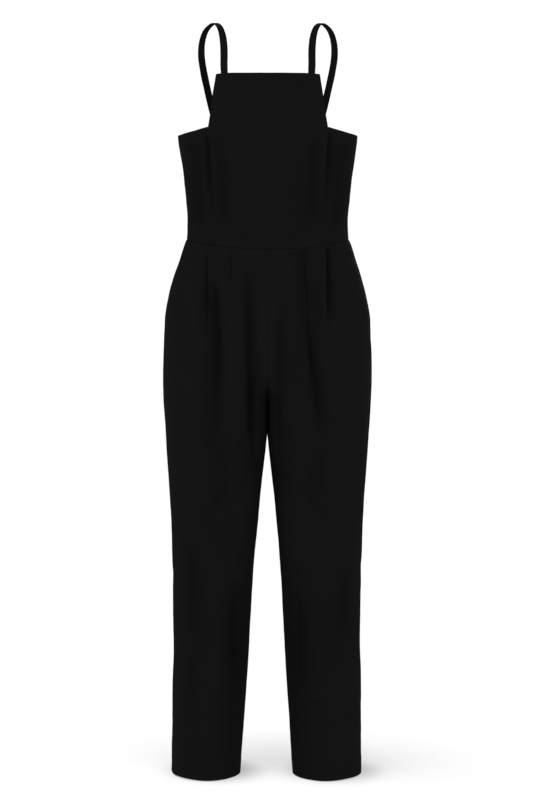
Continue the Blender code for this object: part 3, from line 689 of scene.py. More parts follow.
def wall(name, outer, inner, bulge, out, side, uv, crushed):
    """Closed wall between two grids, whose edges bulge out round. out is the way that the outer one looks."""
    rows, cols = outer.shape[:2]
    centre, half = (outer + inner) / 2, (outer - inner) / 2
    rims = [
        border(centre + half * math.cos(math.pi * turn) + bulge * math.sin(math.pi * turn))
        for turn in (0.25, 0.5, 0.75)
    ]
    verts = sided(np.concatenate([outer.reshape(-1, 3), inner.reshape(-1, 3), *rims]), side)
    grid = np.arange(rows * cols).reshape(rows, cols)
    quads = np.stack([grid[:-1, :-1], grid[:-1, 1:], grid[1:, 1:], grid[1:, :-1]], -1).reshape(-1, 4)
    ends = border(grid)
    chain = [ends, *(2 * rows * cols + np.arange(3 * len(ends)).reshape(3, -1)), ends + rows * cols]
    strips = [np.stack([np.roll(a, -1), a, b, np.roll(b, -1)], -1) for a, b in zip(chain, chain[1:])]
    faces = np.concatenate([quads, quads[:, ::-1] + rows * cols, *strips])
    corner = verts[quads]
    looks = np.cross(corner[:, 2] - corner[:, 0], corner[:, 3] - corner[:, 1])
    if np.sum(looks * sided(out, side)[:-1, :-1].reshape(-1, 3)) < 0:
        faces = faces[:, ::-1]
    uv = np.concatenate([uv.reshape(-1, 2)] * 2 + [border(uv)] * 3)
    crushed = np.concatenate([crushed.ravel()] * 2 + [border(crushed)] * 3)
    return panel(name, verts, faces.tolist(), uv, crushed)


def cloth(name, p, a, back, side, edges, mirror=1.0, on_centre=False, depth=0.0, turn=0.0, lift=0.0):
    """Panel of cloth over a grid of points p of the plain surface, at angles a, rows from the top. edges
    are those of the start, end, top and foot. mirror is -1 along x where a point lies across the middle,
    and on_centre is true where a row starts on the centre seam. depth and turn fold the cloth under and
    turn it over."""
    flat = np.zeros(a.shape, bool)
    flat[:, 0] = on_centre
    waist = np.abs(p[..., 2] + np.where(back, 0.0, waist_dip(p[..., 0], WAIST_SIDE)) - WAIST_SIDE) < 0.05
    normal = facing(p, flat, waist)
    over = unit(np.stack([-normal[..., 1], normal[..., 0], 0 * a], -1) * (-1 if back else 1))
    p, normal = p * mirror, normal * mirror

    across, down = reach(p, 1), reach(p, 0)
    away = (across, across[:, -1:] - across, down, down[-1:] - down)
    along = (p[..., 2], p[..., 2], p[..., 0] * side, p[..., 0] * side)
    at_waist = (waist[:, 0].all(), waist[:, -1].all(), waist[0].all(), waist[-1].all())
    height, folds = rises(p, a, back, side)
    height, extra = edged(height + lift, away, along, edges, at_waist)

    line = p + normal * (height - depth - WALL / 2)[..., None]
    out = unit(normal * np.cos(turn)[..., None] + over * np.sin(turn)[..., None]) if np.any(turn) else normal
    # a quarter of what a turned edge adds is on the outside
    outer = line + out * (WALL / 2 + 0.25 * extra)[..., None]
    inner = line - out * (WALL / 2 + 0.75 * extra)[..., None]
    outer, inner, bulge = drawn_in(line, outer, inner, away, edges)
    # painted shade in the creases: the deeper a crease, the darker the cloth's colour there
    crushed = np.clip(-folds / CREASE_SHADE_DEPTH, 0, 1)
    return wall(name, outer, inner, bulge, out, side, flat_cut(name, line), crushed)


# ---------------------------------------------------------------- bodice
def bib():
    """Square bib and centre front in one, free above the side panels and sewn to them below."""
    height, upper = BIB_TOP - WAIST_SIDE, BIB_TOP - BIB_CORNER
    drops = stations(0.0, height, BIB_GRID[0])[:, None]
    across = stations(-100.0, 100.0, BIB_GRID[1])[None, :] / 100
    rounded = 2.4 * np.abs(across) ** 8 * (1 - np.clip(drops / upper, 0, 1)) ** 2  # the top corners
    top = BIB_TOP - drops - rounded
    x, z = across * PRINCESS_X(top), top
    for _ in range(4):  # x and z depend on each other, and settle
        foot = WAIST_SIDE - waist_dip(x, WAIST_SIDE)
        low = BIB_CORNER + (foot - BIB_CORNER) * (drops - upper) / (height - upper)
        z = np.where(drops > upper, low, top)
        x = across * (PRINCESS_X(z) - JOIN)
    a = angle_at(np.abs(x), z)
    mirror = np.ones((*x.shape, 3))
    mirror[..., 0] = np.where(x < 0, -1, 1)
    side_edge = (ease((BIB_CORNER + 1.5 - z) / 3.0), BIB_TURN, 0.10)
    edges = (side_edge, side_edge, TOP_EDGE, SEWN)
    return cloth("crepe_bib_front", place(a, z, False), a, False, 1, edges, mirror)


def side_front(side, word):
    """Panel from the bib round to the side seam, under a sloping top edge."""
    height = BIB_CORNER - WAIST_SIDE
    corner = float(PRINCESS_X(BIB_CORNER))
    angles, levels = [], []
    for t in stations(0.0, height, SIDE_GRID[0]) / height:
        z = np.full(1, BIB_CORNER + (WAIST_SIDE - BIB_CORNER) * t)
        for _ in range(4):  # x and z depend on each other, and settle
            first = angle_at(PRINCESS_X(z[0]) + JOIN, z[0])
            a, s = walk(float(z.mean()), False, float(first))
            a = np.interp(stations(0.0, s[-1] - JOIN, SIDE_GRID[1]), s, a)
            x = place(a, z if len(z) == len(a) else z[0], False)[:, 0]
            share = (a - first) / (math.pi / 2 - first)
            over = np.clip((x - corner) / (OUTER(UNDERARM) - corner), 0, 1)
            head = BIB_CORNER + (UNDERARM - BIB_CORNER) * (0.85 * over + 0.15 * share)
            z = head + (WAIST_SIDE - waist_dip(x, WAIST_SIDE) - head) * t
        angles.append(a)
        levels.append(z)
    a, z = np.array(angles), np.array(levels)
    return cloth(f"crepe_side_front_{word}", place(a, z, False), a, False, side, (SEWN, SEWN, TOP_EDGE, SEWN))


def back_bodice(side, word):
    """Back panel from the zip at the middle round to the side seam. The slider parts the two at the top."""
    levels = UNDERARM - stations(0.0, UNDERARM - WAIST_SIDE, BACK_GRID[0])
    angles = []
    for z in levels:
        part = SEAM / 2 + 1.0 * float(ease((z - (UNDERARM - 30)) / 14))
        a, s = walk(z, True, float(angle_at(part, z)))
        angles.append(np.interp(stations(0.0, s[-1] - JOIN, BACK_GRID[1]), s, a))
    a, z = np.array(angles), levels[:, None]
    edges = (ZIPPED, SEWN, TOP_EDGE, SEWN)
    return cloth(f"crepe_back_bodice_{word}", place(a, z, True), a, True, side, edges, on_centre=True)


# ---------------------------------------------------------------- trousers
ARC_STEPS, RETURN_STEPS = 9, 7  # points round each fold of a pleat, and on the stretch behind it
RETURN = 16.0  # length of that stretch


def spread(z, back, start, end, count):
    """Places across a panel. Just above the crotch, those near the centre seam close up and the rest run on
    into the leg's, because the leg's inner side starts below it."""
    at = np.linspace(start, end, count)
    if CROTCH < z < PARTING:
        body, leg = (walk(level, back)[1][-1] for level in (PARTING, CROTCH))
        full = leg + (body - leg) * float(ease((z - CROTCH) / (PARTING - CROTCH)))
        far = np.linspace(full, 0, count)
        at = end - far + max(full - (end - start), 0.0) * (far / full) ** 4
    inner = np.interp(np.linspace(0, 1, count - 2 * len(EDGE) + 2), np.linspace(0, 1, count), at)
    inner = start + EDGE[-1] + (inner - start) * (end - start - 2 * EDGE[-1]) / (end - start)
    return np.concatenate([start + EDGE[:-1], inner, end - EDGE[:-1][::-1]])


def pleat_path(row, below):
    """Cloth's middle through a pleat: distance from the fold's edge, depth, and how far the cloth has
    turned over."""
    u = np.clip(below / row["length"], 0.0, 1.0)
    open_up = ease(u) ** row["late"]
    turn = min(math.pi * (1 - open_up) + 0.04, math.pi)
    radius = PLEAT_RADIUS + (row["gape"] - PLEAT_RADIUS) * open_up
    lap = max(row["lap"] - 2 * radius, 0.0) * (1 - ease(u / 0.8)) + 0.3
    psi = np.linspace(0, turn, ARC_STEPS)
    s1, d1 = radius * np.sin(psi), radius * (1 - np.cos(psi))
    s2 = s1[-1] + lap * math.cos(turn) + radius * (math.sin(turn) - np.sin(psi[::-1]))
    d2 = d1[-1] + lap * math.sin(turn) + radius * (np.cos(psi[::-1]) - math.cos(turn))
    s, d, phi = (np.concatenate(pair) for pair in ((s1, s2), (d1, d2), (psi, psi[::-1])))
    return s - (radius if turn > math.pi / 2 else radius * math.sin(turn)), d, phi


def pleated(z, side, a, s, start, end):
    """Places across a front row with its pleats, depth and turn of the cloth at each, and the folds'
    edges."""
    below = WAIST_SIDE - z
    lead = len(EDGE) - 1
    at, depth, phi, folds = list(start + EDGE[:-1]), [0.0] * lead, [0.0] * lead, []
    here = start + EDGE[-1]
    pleats = sorted((row for row in PLEAT_ROWS if row["side"] == side), key=lambda row: row["x_top"])
    for row, count in zip(pleats, PLEATED_COLUMNS):
        down = np.clip(below / row["length"], 0, 1)
        x = row["x_top"] + (row["x_foot"] - row["x_top"]) * down
        edge = float(np.interp(angle_at(x, z), a, s))
        ps, pd, pf = pleat_path(row, below)
        run = np.linspace(here, edge + ps[0] - 0.7, count)
        here = edge + ps[-1] + RETURN
        away = np.linspace(0, 1, RETURN_STEPS + 1)[1:-1]
        slope = pd[-1] / RETURN * 6 * away * (1 - away)
        at += [*run, *(edge + ps), *(edge + ps[-1] + RETURN * away)]
        depth += [*(0 * run), *pd, *(pd[-1] * (1 - ease(away)))]
        phi += [*(0 * run), *pf, *(-np.arctan(slope))]
        folds.append((edge, row["lift"] * math.sin(math.pi * min(down + 0.12, 1.0))))
    at += [*np.linspace(here, end - EDGE[-1], PLEATED_COLUMNS[-1]), *(end - EDGE[:-1][::-1])]
    rest = [0.0] * (PLEATED_COLUMNS[-1] + lead)
    return np.array(at), np.array(depth + rest), np.array(phi + rest), folds


def trouser(side, word, back):
    """One panel of a leg, from the waist to the hem, with the centre seam and the leg's inner seam at its
    start."""
    levels = WAIST_SIDE - JOIN - stations(0.0, WAIST_SIDE - JOIN - HEM, TROUSER_GRID[0])
    fine = np.concatenate([np.arange(top, foot, -gap) for top, foot, gap in CROTCH_ROWS])
    levels = np.concatenate([levels[levels > fine[0] + 1.5], fine, levels[levels < fine[-1] - 1.5]])
    pleats = 2 * (2 * ARC_STEPS + RETURN_STEPS - 1)
    count = TROUSER_GRID[1] if back else 2 * (len(EDGE) - 1) + sum(PLEATED_COLUMNS) + pleats
    fade_from = max(row["length"] for row in PLEAT_ROWS if row["side"] == side)
    angles, depths, turns, lifts = [], [], [], []
    for z in levels:
        a, s = walk(z, back)
        start, end = (JOIN if z <= CROTCH else 0.0), s[-1] - JOIN
        at = spread(z, back, start, end, count)
        depth, turn, lift = 0 * at, 0 * at, 0 * at
        # the columns even out over 90 mm, from just above the longest pleat's foot
        keep = 1 - float(ease((WAIST_SIDE - z - fade_from + 10) / 90))
        if not back and keep > 0:
            folded, depth, turn, folds = pleated(z, side, a, s, start, end)
            at, depth, turn = at + (folded - at) * keep, depth * keep, turn * keep
            for edge, rise in folds:
                lift = lift + keep * rise * np.exp(-(((at - edge + 6) / 16.0) ** 2))
        for column, values in zip((angles, depths, turns, lifts), (np.interp(at, s, a), depth, turn, lift)):
            column.append(values)
    a, z = np.array(angles), levels[:, None]
    if not back:
        z = z - waist_dip(place(a, z, back)[..., 0], z)
    z = z + hem_rise(place(a, z, back)[..., 0], z)
    zipped = ease((levels - ZIP_END) / 6)[:, None] if back else 0.0
    edges = ((1.0 - zipped, 0.0, 0.12 + 0.16 * zipped), SEWN_LEG, SEWN_LEG, HEMMED)
    name = f"crepe_trouser_{'back' if back else 'front'}_{word}"
    folded = (np.array(column) for column in (depths, turns, lifts))
    return cloth(name, place(a, z, back), a, back, side, edges, 1.0, levels > CROTCH, *folded)


# ---------------------------------------------------------------- straps
STRAP_ROWS, STRAP_AROUND = 230, 32  # points along a strap and round its section


def inside(x, z, gap, back):
    """Point and normal of a strap's middle inside a panel."""
    p = place(angle_at(x, z), z, back)
    n = facing(p)
    return np.concatenate([p - n * (WALL + gap + STRAP_THICK / 2), n])


def strap_frame():
    """Even points along a strap's middle line, the ways across and out of it at each, and the distance
    along."""
    points = [inside(*row, False) for row in STRAP_FRONT_END]
    points += [np.array(list(row.values())) for row in table(STRAP)]
    points += [inside(*row, True) for row in STRAP_BACK_END]
    points = np.array(points)
    known = reach(points[:, :3])
    line = blend(np.linspace(0, known[-1], STRAP_ROWS), known, points, np.gradient(points, known, axis=0))
    p, n = line[:, :3], line[:, 3:]
    along = unit(np.gradient(p, axis=0))
    n = unit(n - along * np.sum(n * along, axis=1, keepdims=True))
    return p, np.cross(along, n), n, reach(p)


def strap(side, word):
    """Flat strap turned right side out: a crowned band with rolled edges that wander a little."""
    p, across, n, far = strap_frame()
    far = far[:, None]
    turn = np.linspace(0, 2 * math.pi, STRAP_AROUND, endpoint=False)
    # round the section, which is between an oval and a box, and thicker beside its edges
    u = np.sign(np.cos(turn)) * np.abs(np.cos(turn)) ** 0.42 / 2
    v = np.sign(np.sin(turn)) * np.abs(np.sin(turn)) ** 0.80 / 2
    wander = 0.10 * np.sin(far / 9.1 + 1.3 * np.sin(far / 23)) * np.sign(u) * (np.abs(u) > 0.3)
    width = STRAP_WIDTH * (1 + 0.012 * np.sin(far / 31 + side))
    thick = STRAP_THICK * (0.86 + 0.10 * np.exp(-(((np.abs(u) - 0.40) / 0.07) ** 2)))
    thick = thick + 0.05 * np.sin(far / 4.3 + 2 * np.sin(far / 17 + side))
    verts = p[:, None] + across[:, None] * (width * u + wander)[..., None]
    verts = sided((verts + n[:, None] * (thick * v)[..., None]).reshape(-1, 3), side)
    grid = np.arange(len(verts)).reshape(-1, STRAP_AROUND)
    upper, lower = grid[:-1], grid[1:]
    faces = np.stack([upper, np.roll(upper, -1, 1), np.roll(lower, -1, 1), lower], -1).reshape(-1, 4).tolist()
    faces += [grid[0][::-1].tolist(), grid[-1].tolist()]
    if side > 0:
        faces = [face[::-1] for face in faces]
    uv = np.stack(np.broadcast_arrays(u[None] * STRAP_WIDTH, -far), -1).reshape(-1, 2)
    obj = panel(f"crepe_strap_{word}", verts, faces, uv, np.zeros(len(verts)))
    length = float(far[-1, 0])
    SHEETS[obj.name] = (STRAP_WIDTH / 1000, length / 1000, STRAP_WIDTH * length / 1e6)
    return obj


# ---------------------------------------------------------------- nodes, for materials and for what repeats
def add(tree, kind, inputs=None, out=0, **settings):
    """Adds a node with its settings, and returns one of its outputs. Each input gets a value, a link from
    another node's output, or a list of such links."""
    node = tree.nodes.new(kind)
    for name, value in settings.items():
        setattr(node, name, value)
    for key, value in (inputs or {}).items():
        if isinstance(value, (bpy.types.NodeSocket, list)):
            for socket in value if isinstance(value, list) else [value]:
                tree.links.new(socket, node.inputs[key])
        else:
            node.inputs[key].default_value = value
    return node.outputs[out] if node.outputs else None


def linear(hex_colour):
    """sRGB hex as linear RGBA."""
    parts = [int(hex_colour[i : i + 2], 16) / 255 for i in (1, 3, 5)]
    return (*(c / 12.92 if c <= 0.04045 else ((c + 0.055) / 1.055) ** 2.4 for c in parts), 1.0)


def material(name):
    """New material with its node tree, cleared."""
    made = bpy.data.materials.new(name)
    made.use_nodes = True
    tree = made.node_tree
    tree.nodes.clear()
    return made, tree


def crepe_fabric():
    """Woven crepe of over-twisted yarn, dyed black: a dry, pebbled, matt cloth with a faint bloom where it
    turns away."""
    made, tree = material("woven_crepe_black")
    point = add(tree, "ShaderNodeTexCoord", out="Object")
    cut = add(tree, "ShaderNodeUVMap", uv_map="cut", out="UV")
    # pebble of the twisted yarns, 0.45 mm across and a little longer down the cloth
    stretched = add(tree, "ShaderNodeMapping", {"Vector": cut, "Scale": (1.0, 0.7, 1.0)})
    grain = {"Vector": stretched, "Scale": 2200.0, "Detail": 2.0, "Distortion": 0.6}
    pebble = add(tree, "ShaderNodeTexNoise", grain, out="Fac")
    weft = {"Vector": cut, "Scale": 720.0, "Distortion": 2.4, "Detail": 1.0, "Detail Scale": 2.0}
    ends = add(tree, "ShaderNodeTexWave", weft, out="Fac")
    yarns = add(tree, "ShaderNodeMath", {0: pebble, 1: ends}, operation="MULTIPLY")
    raised = add(tree, "ShaderNodeBump", {"Height": yarns, "Strength": 0.55, "Distance": 0.00022})
    # crinkle of 4 mm that the yarns' twist pulls the cloth into
    pull = {"Vector": stretched, "Scale": 250.0, "Detail": 3.0, "Roughness": 0.55}
    crinkle = add(tree, "ShaderNodeTexNoise", pull, out="Fac")
    cockle = {"Height": crinkle, "Strength": 0.35, "Distance": 0.0006, "Normal": raised}
    # dye a little uneven over 60 mm, and lighter on the yarns' tops
    cloudy = {"Vector": point, "Scale": 16.0, "Detail": 4.0, "Roughness": 0.6}
    uneven = add(tree, "ShaderNodeTexNoise", cloudy, out="Fac")
    dye = {"Factor": uneven, 6: linear("#131314"), 7: linear("#181819")}
    shade = add(tree, "ShaderNodeMix", dye, data_type="RGBA", out=2)
    lighter = {"Factor": pebble, 6: shade, 7: linear("#1b1b1d")}
    tops = add(tree, "ShaderNodeMix", lighter, data_type="RGBA", out=2)
    # painted shade: the cloth's colour is darkened in the creases, the more the deeper they are
    crushed = add(tree, "ShaderNodeAttribute", attribute_name="crushed", out="Fac")
    crease_shade_share = add(tree, "ShaderNodeMapRange", {"Value": crushed, "To Max": 0.5})
    painted_crease_shade = {"Factor": crease_shade_share, 6: tops, 7: linear("#040405")}
    dry = {"Value": pebble, "To Min": 0.98, "To Max": 0.80}
    look = {
        "Base Color": add(tree, "ShaderNodeMix", painted_crease_shade, data_type="RGBA", out=2),
        "Roughness": add(tree, "ShaderNodeMapRange", dry),
        "Specular IOR Level": 0.04,
        "Sheen Weight": 0.02,
        "Sheen Roughness": 0.45,
        "Sheen Tint": linear("#8c90a0"),
        "Normal": add(tree, "ShaderNodeBump", cockle),
    }
    add(tree, "ShaderNodeOutputMaterial", {0: add(tree, "ShaderNodeBsdfPrincipled", look)})
    return made


def tape_weave():
    """Zip tape of spun polyester in a tight twill: flat, matt and a touch greyer than the crepe."""
    made, tree = material("twill_zip_tape_black")
    point = add(tree, "ShaderNodeTexCoord", out="Object")
    twill = add(tree, "ShaderNodeMapping", {"Vector": point, "Rotation": (0.0, math.radians(35), 0.0)})
    rib = {"Vector": twill, "Scale": 420.0, "Distortion": 0.6, "Detail": 1.0}
    ribs = add(tree, "ShaderNodeTexWave", rib, out="Fac")
    raised = add(tree, "ShaderNodeBump", {"Height": ribs, "Strength": 0.6, "Distance": 0.0002})
    dye = {"Factor": ribs, 6: linear("#121213"), 7: linear("#202022")}
    shade = add(tree, "ShaderNodeMix", dye, data_type="RGBA", out=2)
    look = {"Base Color": shade, "Roughness": 0.85, "Specular IOR Level": 0.25, "Normal": raised}
    add(tree, "ShaderNodeOutputMaterial", {0: add(tree, "ShaderNodeBsdfPrincipled", look)})
    return made


def lacquered_zinc():
    """Die-cast zinc under black lacquer: satin, with grey showing through where the edges have rubbed."""
    made, tree = material("lacquered_die_cast_zinc")
    point = add(tree, "ShaderNodeTexCoord", out="Object")
    flow = add(tree, "ShaderNodeTexNoise", {"Vector": point, "Scale": 900.0, "Detail": 3.0}, out="Fac")
    scratch = {"Vector": point, "Scale": 420.0, "Detail": 6.0, "Roughness": 0.7}
    scuffs = add(tree, "ShaderNodeTexNoise", scratch, out="Fac")
    edges = add(tree, "ShaderNodeNewGeometry", out="Pointiness")
    worn = add(tree, "ShaderNodeMapRange", {"Value": edges, "From Min": 0.54, "From Max": 0.64})
    rubbed = add(tree, "ShaderNodeMath", {0: worn, 1: scuffs}, operation="MULTIPLY")
    coats = {"Factor": rubbed, 6: linear("#17171a"), 7: linear("#77787c")}
    satin = {"Value": scuffs, "To Min": 0.28, "To Max": 0.46}
    ripple = {"Height": flow, "Strength": 0.2, "Distance": 0.00006}
    look = {
        "Base Color": add(tree, "ShaderNodeMix", coats, data_type="RGBA", out=2),
        "Metallic": rubbed,
        "Roughness": add(tree, "ShaderNodeMapRange", satin),
        "Coat Weight": 0.25,
        "Coat Roughness": 0.22,
        "Normal": add(tree, "ShaderNodeBump", ripple),
    }
    add(tree, "ShaderNodeOutputMaterial", {0: add(tree, "ShaderNodeBsdfPrincipled", look)})
    return made


def black_filament(name, base, tip, twist, rough):
    """Moulded nylon for the zip's coil, or spun polyester thread, with a soft gloss and a twist."""
    made, tree = material(name)
    point = add(tree, "ShaderNodeTexCoord", out="Object")
    wound = {"Vector": point, "Scale": twist, "Distortion": 1.0}
    plies = add(tree, "ShaderNodeTexWave", wound, bands_direction="DIAGONAL", out="Fac")
    dye = {"Factor": plies, 6: linear(base), 7: linear(tip)}
    shade = add(tree, "ShaderNodeMix", dye, data_type="RGBA", out=2)
    raised = add(tree, "ShaderNodeBump", {"Height": plies, "Strength": 0.4, "Distance": 0.00008})
    look = {"Base Color": shade, "Roughness": rough, "Specular IOR Level": 0.4, "Normal": raised}
    add(tree, "ShaderNodeOutputMaterial", {0: add(tree, "ShaderNodeBsdfPrincipled", look)})
    return made


CREPE, TAPE, ZINC = crepe_fabric(), tape_weave(), lacquered_zinc()
THREAD = black_filament("spun_polyester_thread_black", "#151516", "#232326", 1500.0, 0.6)
COIL = black_filament("moulded_nylon_coil_black", "#151517", "#1e1e21", 500.0, 0.42)


def new_tree(name, sizes):
    """Geometry Nodes tree that takes a path, named sizes in metres and a material. Returns the tree, what
    it takes, the path as a curve, and points on it every Pitch."""
    tree = bpy.data.node_groups.new(name, "GeometryNodeTree")
    tree.interface.new_socket("Geometry", in_out="INPUT", socket_type="NodeSocketGeometry")
    for size in sizes:
        tree.interface.new_socket(size, in_out="INPUT", socket_type="NodeSocketFloat")
    tree.interface.new_socket("Material", in_out="INPUT", socket_type="NodeSocketMaterial")
    tree.interface.new_socket("Geometry", in_out="OUTPUT", socket_type="NodeSocketGeometry")
    given = tree.nodes.new("NodeGroupInput").outputs
    line = add(tree, "GeometryNodeMeshToCurve", {0: given["Geometry"]})
    even = add(tree, "GeometryNodeResampleCurve", {"Curve": line, "Length": given["Pitch"]}, mode="LENGTH")
    return tree, given, line, add(tree, "GeometryNodeCurveToPoints", {"Curve": even}, mode="EVALUATED")


def last_steps(tree, given, geometry):
    """Realizes the instances, smooths them and gives them their material."""
    real = add(tree, "GeometryNodeRealizeInstances", {0: geometry})
    smooth = add(tree, "GeometryNodeSetShadeSmooth", {0: real})
    dressed = add(tree, "GeometryNodeSetMaterial", {0: smooth, "Material": given["Material"]})
    add(tree, "NodeGroupOutput", {0: dressed})
    return tree


def stitch_tree():
    """A stitch every Pitch along each path, a lozenge of thread as long as Length and as thick as
    Thickness."""
    tree, given, _, points = new_tree("stitches_along_paths", ("Pitch", "Length", "Thickness"))
    ball = add(tree, "GeometryNodeMeshUVSphere", {"Segments": 6, "Rings": 4, "Radius": 0.5})
    axes = {0: given["Thickness"], 1: given["Thickness"], 2: given["Length"]}
    size = add(tree, "ShaderNodeCombineXYZ", axes)
    thread = add(tree, "GeometryNodeTransform", {"Geometry": ball, "Scale": size})
    laid = {"Points": points, "Instance": thread, "Rotation": points.node.outputs["Rotation"]}
    return last_steps(tree, given, add(tree, "GeometryNodeInstanceOnPoints", laid))


def coil_tree():
    """The zip's coil: a tooth every Pitch, by turns from its left and its right half, which mesh in the
    middle, and the three core cords that they turn round."""
    tree, given, line, points = new_tree("coil_teeth_along_path", ("Pitch", "Width", "Thickness"))
    index = add(tree, "GeometryNodeInputIndex")
    odd = add(tree, "ShaderNodeMath", {0: index, 1: 2.0}, operation="MODULO")
    # a tooth's middle is this share of its width to the left or right
    to_side = add(tree, "ShaderNodeMath", {0: odd, 1: 0.65, 2: -0.325}, operation="MULTIPLY_ADD")
    shift = add(tree, "ShaderNodeMath", {0: to_side, 1: given["Width"]}, operation="MULTIPLY")
    offset = add(tree, "ShaderNodeCombineXYZ", {0: shift})
    apart = add(tree, "GeometryNodeSetPosition", {"Geometry": points, "Offset": offset})
    ball = add(tree, "GeometryNodeMeshUVSphere", {"Segments": 10, "Rings": 6, "Radius": 0.5})
    axes = {0: given["Width"], 1: given["Thickness"], 2: given["Thickness"]}
    size = add(tree, "ShaderNodeCombineXYZ", axes)
    tooth = add(tree, "GeometryNodeTransform", {"Geometry": ball, "Scale": size})
    pieces = [add(tree, "GeometryNodeInstanceOnPoints", {"Points": apart, "Instance": tooth})]
    ring = add(tree, "GeometryNodeCurvePrimitiveCircle", {"Resolution": 8, "Radius": CORE / 2000})
    for aside in (-0.9 * CORE, 0.0, 0.9 * CORE):
        beside = add(tree, "GeometryNodeSetPosition", {"Geometry": line, "Offset": (aside / 1000, 0.0, 0.0)})
        pieces.append(add(tree, "GeometryNodeCurveToMesh", {"Curve": beside, "Profile Curve": ring}))
    return last_steps(tree, given, add(tree, "GeometryNodeJoinGeometry", {0: pieces}))


def grow(name, paths, tree, values):
    """Mesh that a tree makes along paths of points in mm."""
    verts, edges = [], []
    for path in paths:
        edges += [(len(verts) + k, len(verts) + k + 1) for k in range(len(path) - 1)]
        verts += (np.asarray(path) * 0.001).tolist()
    mesh = bpy.data.meshes.new(name + "_path")
    mesh.from_pydata(verts, edges, [])
    obj = shown(name, mesh)
    modifier = obj.modifiers.new("grow", "NODES")
    modifier.node_group = tree
    for item in tree.interface.items_tree:
        if item.name in values:
            modifier[item.identifier] = values[item.name]
    bpy.context.view_layer.update()
    grown = bpy.data.meshes.new_from_object(obj.evaluated_get(bpy.context.evaluated_depsgraph_get()))
    obj.modifiers.clear()
    obj.data = grown
    return obj


# ---------------------------------------------------------------- where the stitches and the coil lie
def on_surface(a, z, back, side, raised, centre=False):
    """Points that far above the dressed cloth, at angles a and heights z of the surface. centre is true on
    the centre seam, whose middle they keep to."""
    p = place(a, z, back)
    height, _ = rises(p, a, back, side)
    return sided(p + facing(p, centre) * (height + raised)[:, None], side)


def seam_paths():
    """Lines deep in the seams' grooves."""
    deep = -GROOVE - STITCH_DEEP
    paths = []
    for side in (1, -1):
        z = np.arange(BIB_CORNER - 1, WAIST_SIDE - 6, -2.0)
        paths.append(on_surface(angle_at(PRINCESS_X(z), z), z, False, side, deep))
        outer_hem = HEM + HEM_RISE + 1
        for top, foot in ((UNDERARM - 2, WAIST_SIDE + 2), (WAIST_SIDE - 2, outer_hem)):
            z = np.arange(top, foot, -3.0)
            paths.append(on_surface(0 * z + math.pi / 2, z, True, side, deep))
        z = np.arange(CROTCH - 4, HEM + 1, -3.0)
        paths.append(on_surface(0 * z - math.pi / 2, z, True, side, deep))
    for top, back in ((WAIST_SIDE - WAIST_DIP, False), (ZIP_END, True)):
        z = np.arange(top - 2, CROTCH + 3, -1.5)
        paths.append(on_surface(angle_at(0 * z, z), z, back, 1, deep, True))
    for back in (False, True):
        for side in (1, -1):
            x = OUTER(WAIST_SIDE) * np.sin(np.linspace(0.02, math.pi / 2 - 0.01, 70))
            z = WAIST_SIDE - (0 * x if back else waist_dip(x, WAIST_SIDE))
            paths.append(on_surface(angle_at(x, z), z, back, side, deep - WAIST_GROOVE))
    return paths


def hem_paths():
    """Lines just inside the cloth, along the top of each turned hem, where blind stitches catch it."""
    paths = []
    a = np.linspace(-math.pi / 2 + 0.01, math.pi / 2 - 0.01, 90)
    z = HEM + HEM_TURN + 1.0
    for side in (1, -1):
        for back in (False, True):
            raised = z + hem_rise(place(a, z, back)[..., 0], z)
            paths.append(on_surface(a, raised, back, side, -WALL - 0.15))
    return paths


def strap_stitch_paths():
    """The boxes of stitches that hold both ends of each strap, on its inner face."""
    p, across, n, far = strap_frame()
    half = 4  # of a box's width
    paths = []
    for start, end in ((2.0, 15.0), (far[-1] - 15.0, far[-1] - 2.0)):
        corners = [(start, -half), (start, half), (end, half), (end, -half), (start, -half), (end, half)]
        rows = [np.linspace(a, b, 12)[:-1] for a, b in zip(corners, corners[1:])]
        at = np.concatenate([*rows, [corners[-1]]])
        middle, aside, out = (
            np.stack([np.interp(at[:, 0], far, values) for values in v.T], -1) for v in (p, across, n)
        )
        line = middle + aside * at[:, 1:] - out * (STRAP_THICK * 0.47)
        paths += [line, sided(line, -1)]
    return paths


def coil_path():
    """Line down the middle of the closed coil, on the inner face of the zip's tapes."""
    z = np.arange(UNDERARM - SLIDER_HIGH, ZIP_END + 4, -3.0)
    p = place(angle_at(0 * z, z), z, True)
    return [p - facing(p, True) * (WALL + SEAM + ZIP_TAPE_THICK + 0.85)]


# ---------------------------------------------------------------- the pieces and what they ride on
def dress(obj, finish, node=None):
    """Gives a piece its material and body, and hides the solid that it stands for."""
    if finish is not None:
        obj.data.materials.clear()
        obj.data.materials.append(finish)
    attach(obj, "garment")
    if node:
        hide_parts(node)


panels = {"bib_front": bib()}
for side, word in ((1, "left"), (-1, "right")):
    panels[f"side_front_{word}"] = side_front(side, word)
    panels[f"back_bodice_{word}"] = back_bodice(side, word)
    panels[f"trouser_front_{word}"] = trouser(side, word, False)
    panels[f"trouser_back_{word}"] = trouser(side, word, True)
    panels[f"strap_{word}"] = strap(side, word)
for node, obj in panels.items():
    dress(obj, CREPE, node=node)
    width, length, area = SHEETS[obj.name]

STITCHES = stitch_tree()
for name, paths, pitch, length, thickness in (
    ("seam_stitches", seam_paths, 0.0026, 0.0027, 0.00040),
    ("blind_hem_stitches", hem_paths, 0.0075, 0.0030, 0.00045),
    ("strap_stitches", strap_stitch_paths, 0.0024, 0.0021, 0.00045),
):
    sizes = {"Pitch": pitch, "Length": length, "Thickness": thickness, "Material": THREAD}
    dress(grow(name, paths(), STITCHES, sizes), None)
sizes = {"Pitch": 0.00075, "Width": 0.0024, "Thickness": 0.0009, "Material": COIL}
dress(grow("zip_coil", coil_path(), coil_tree(), sizes), None)

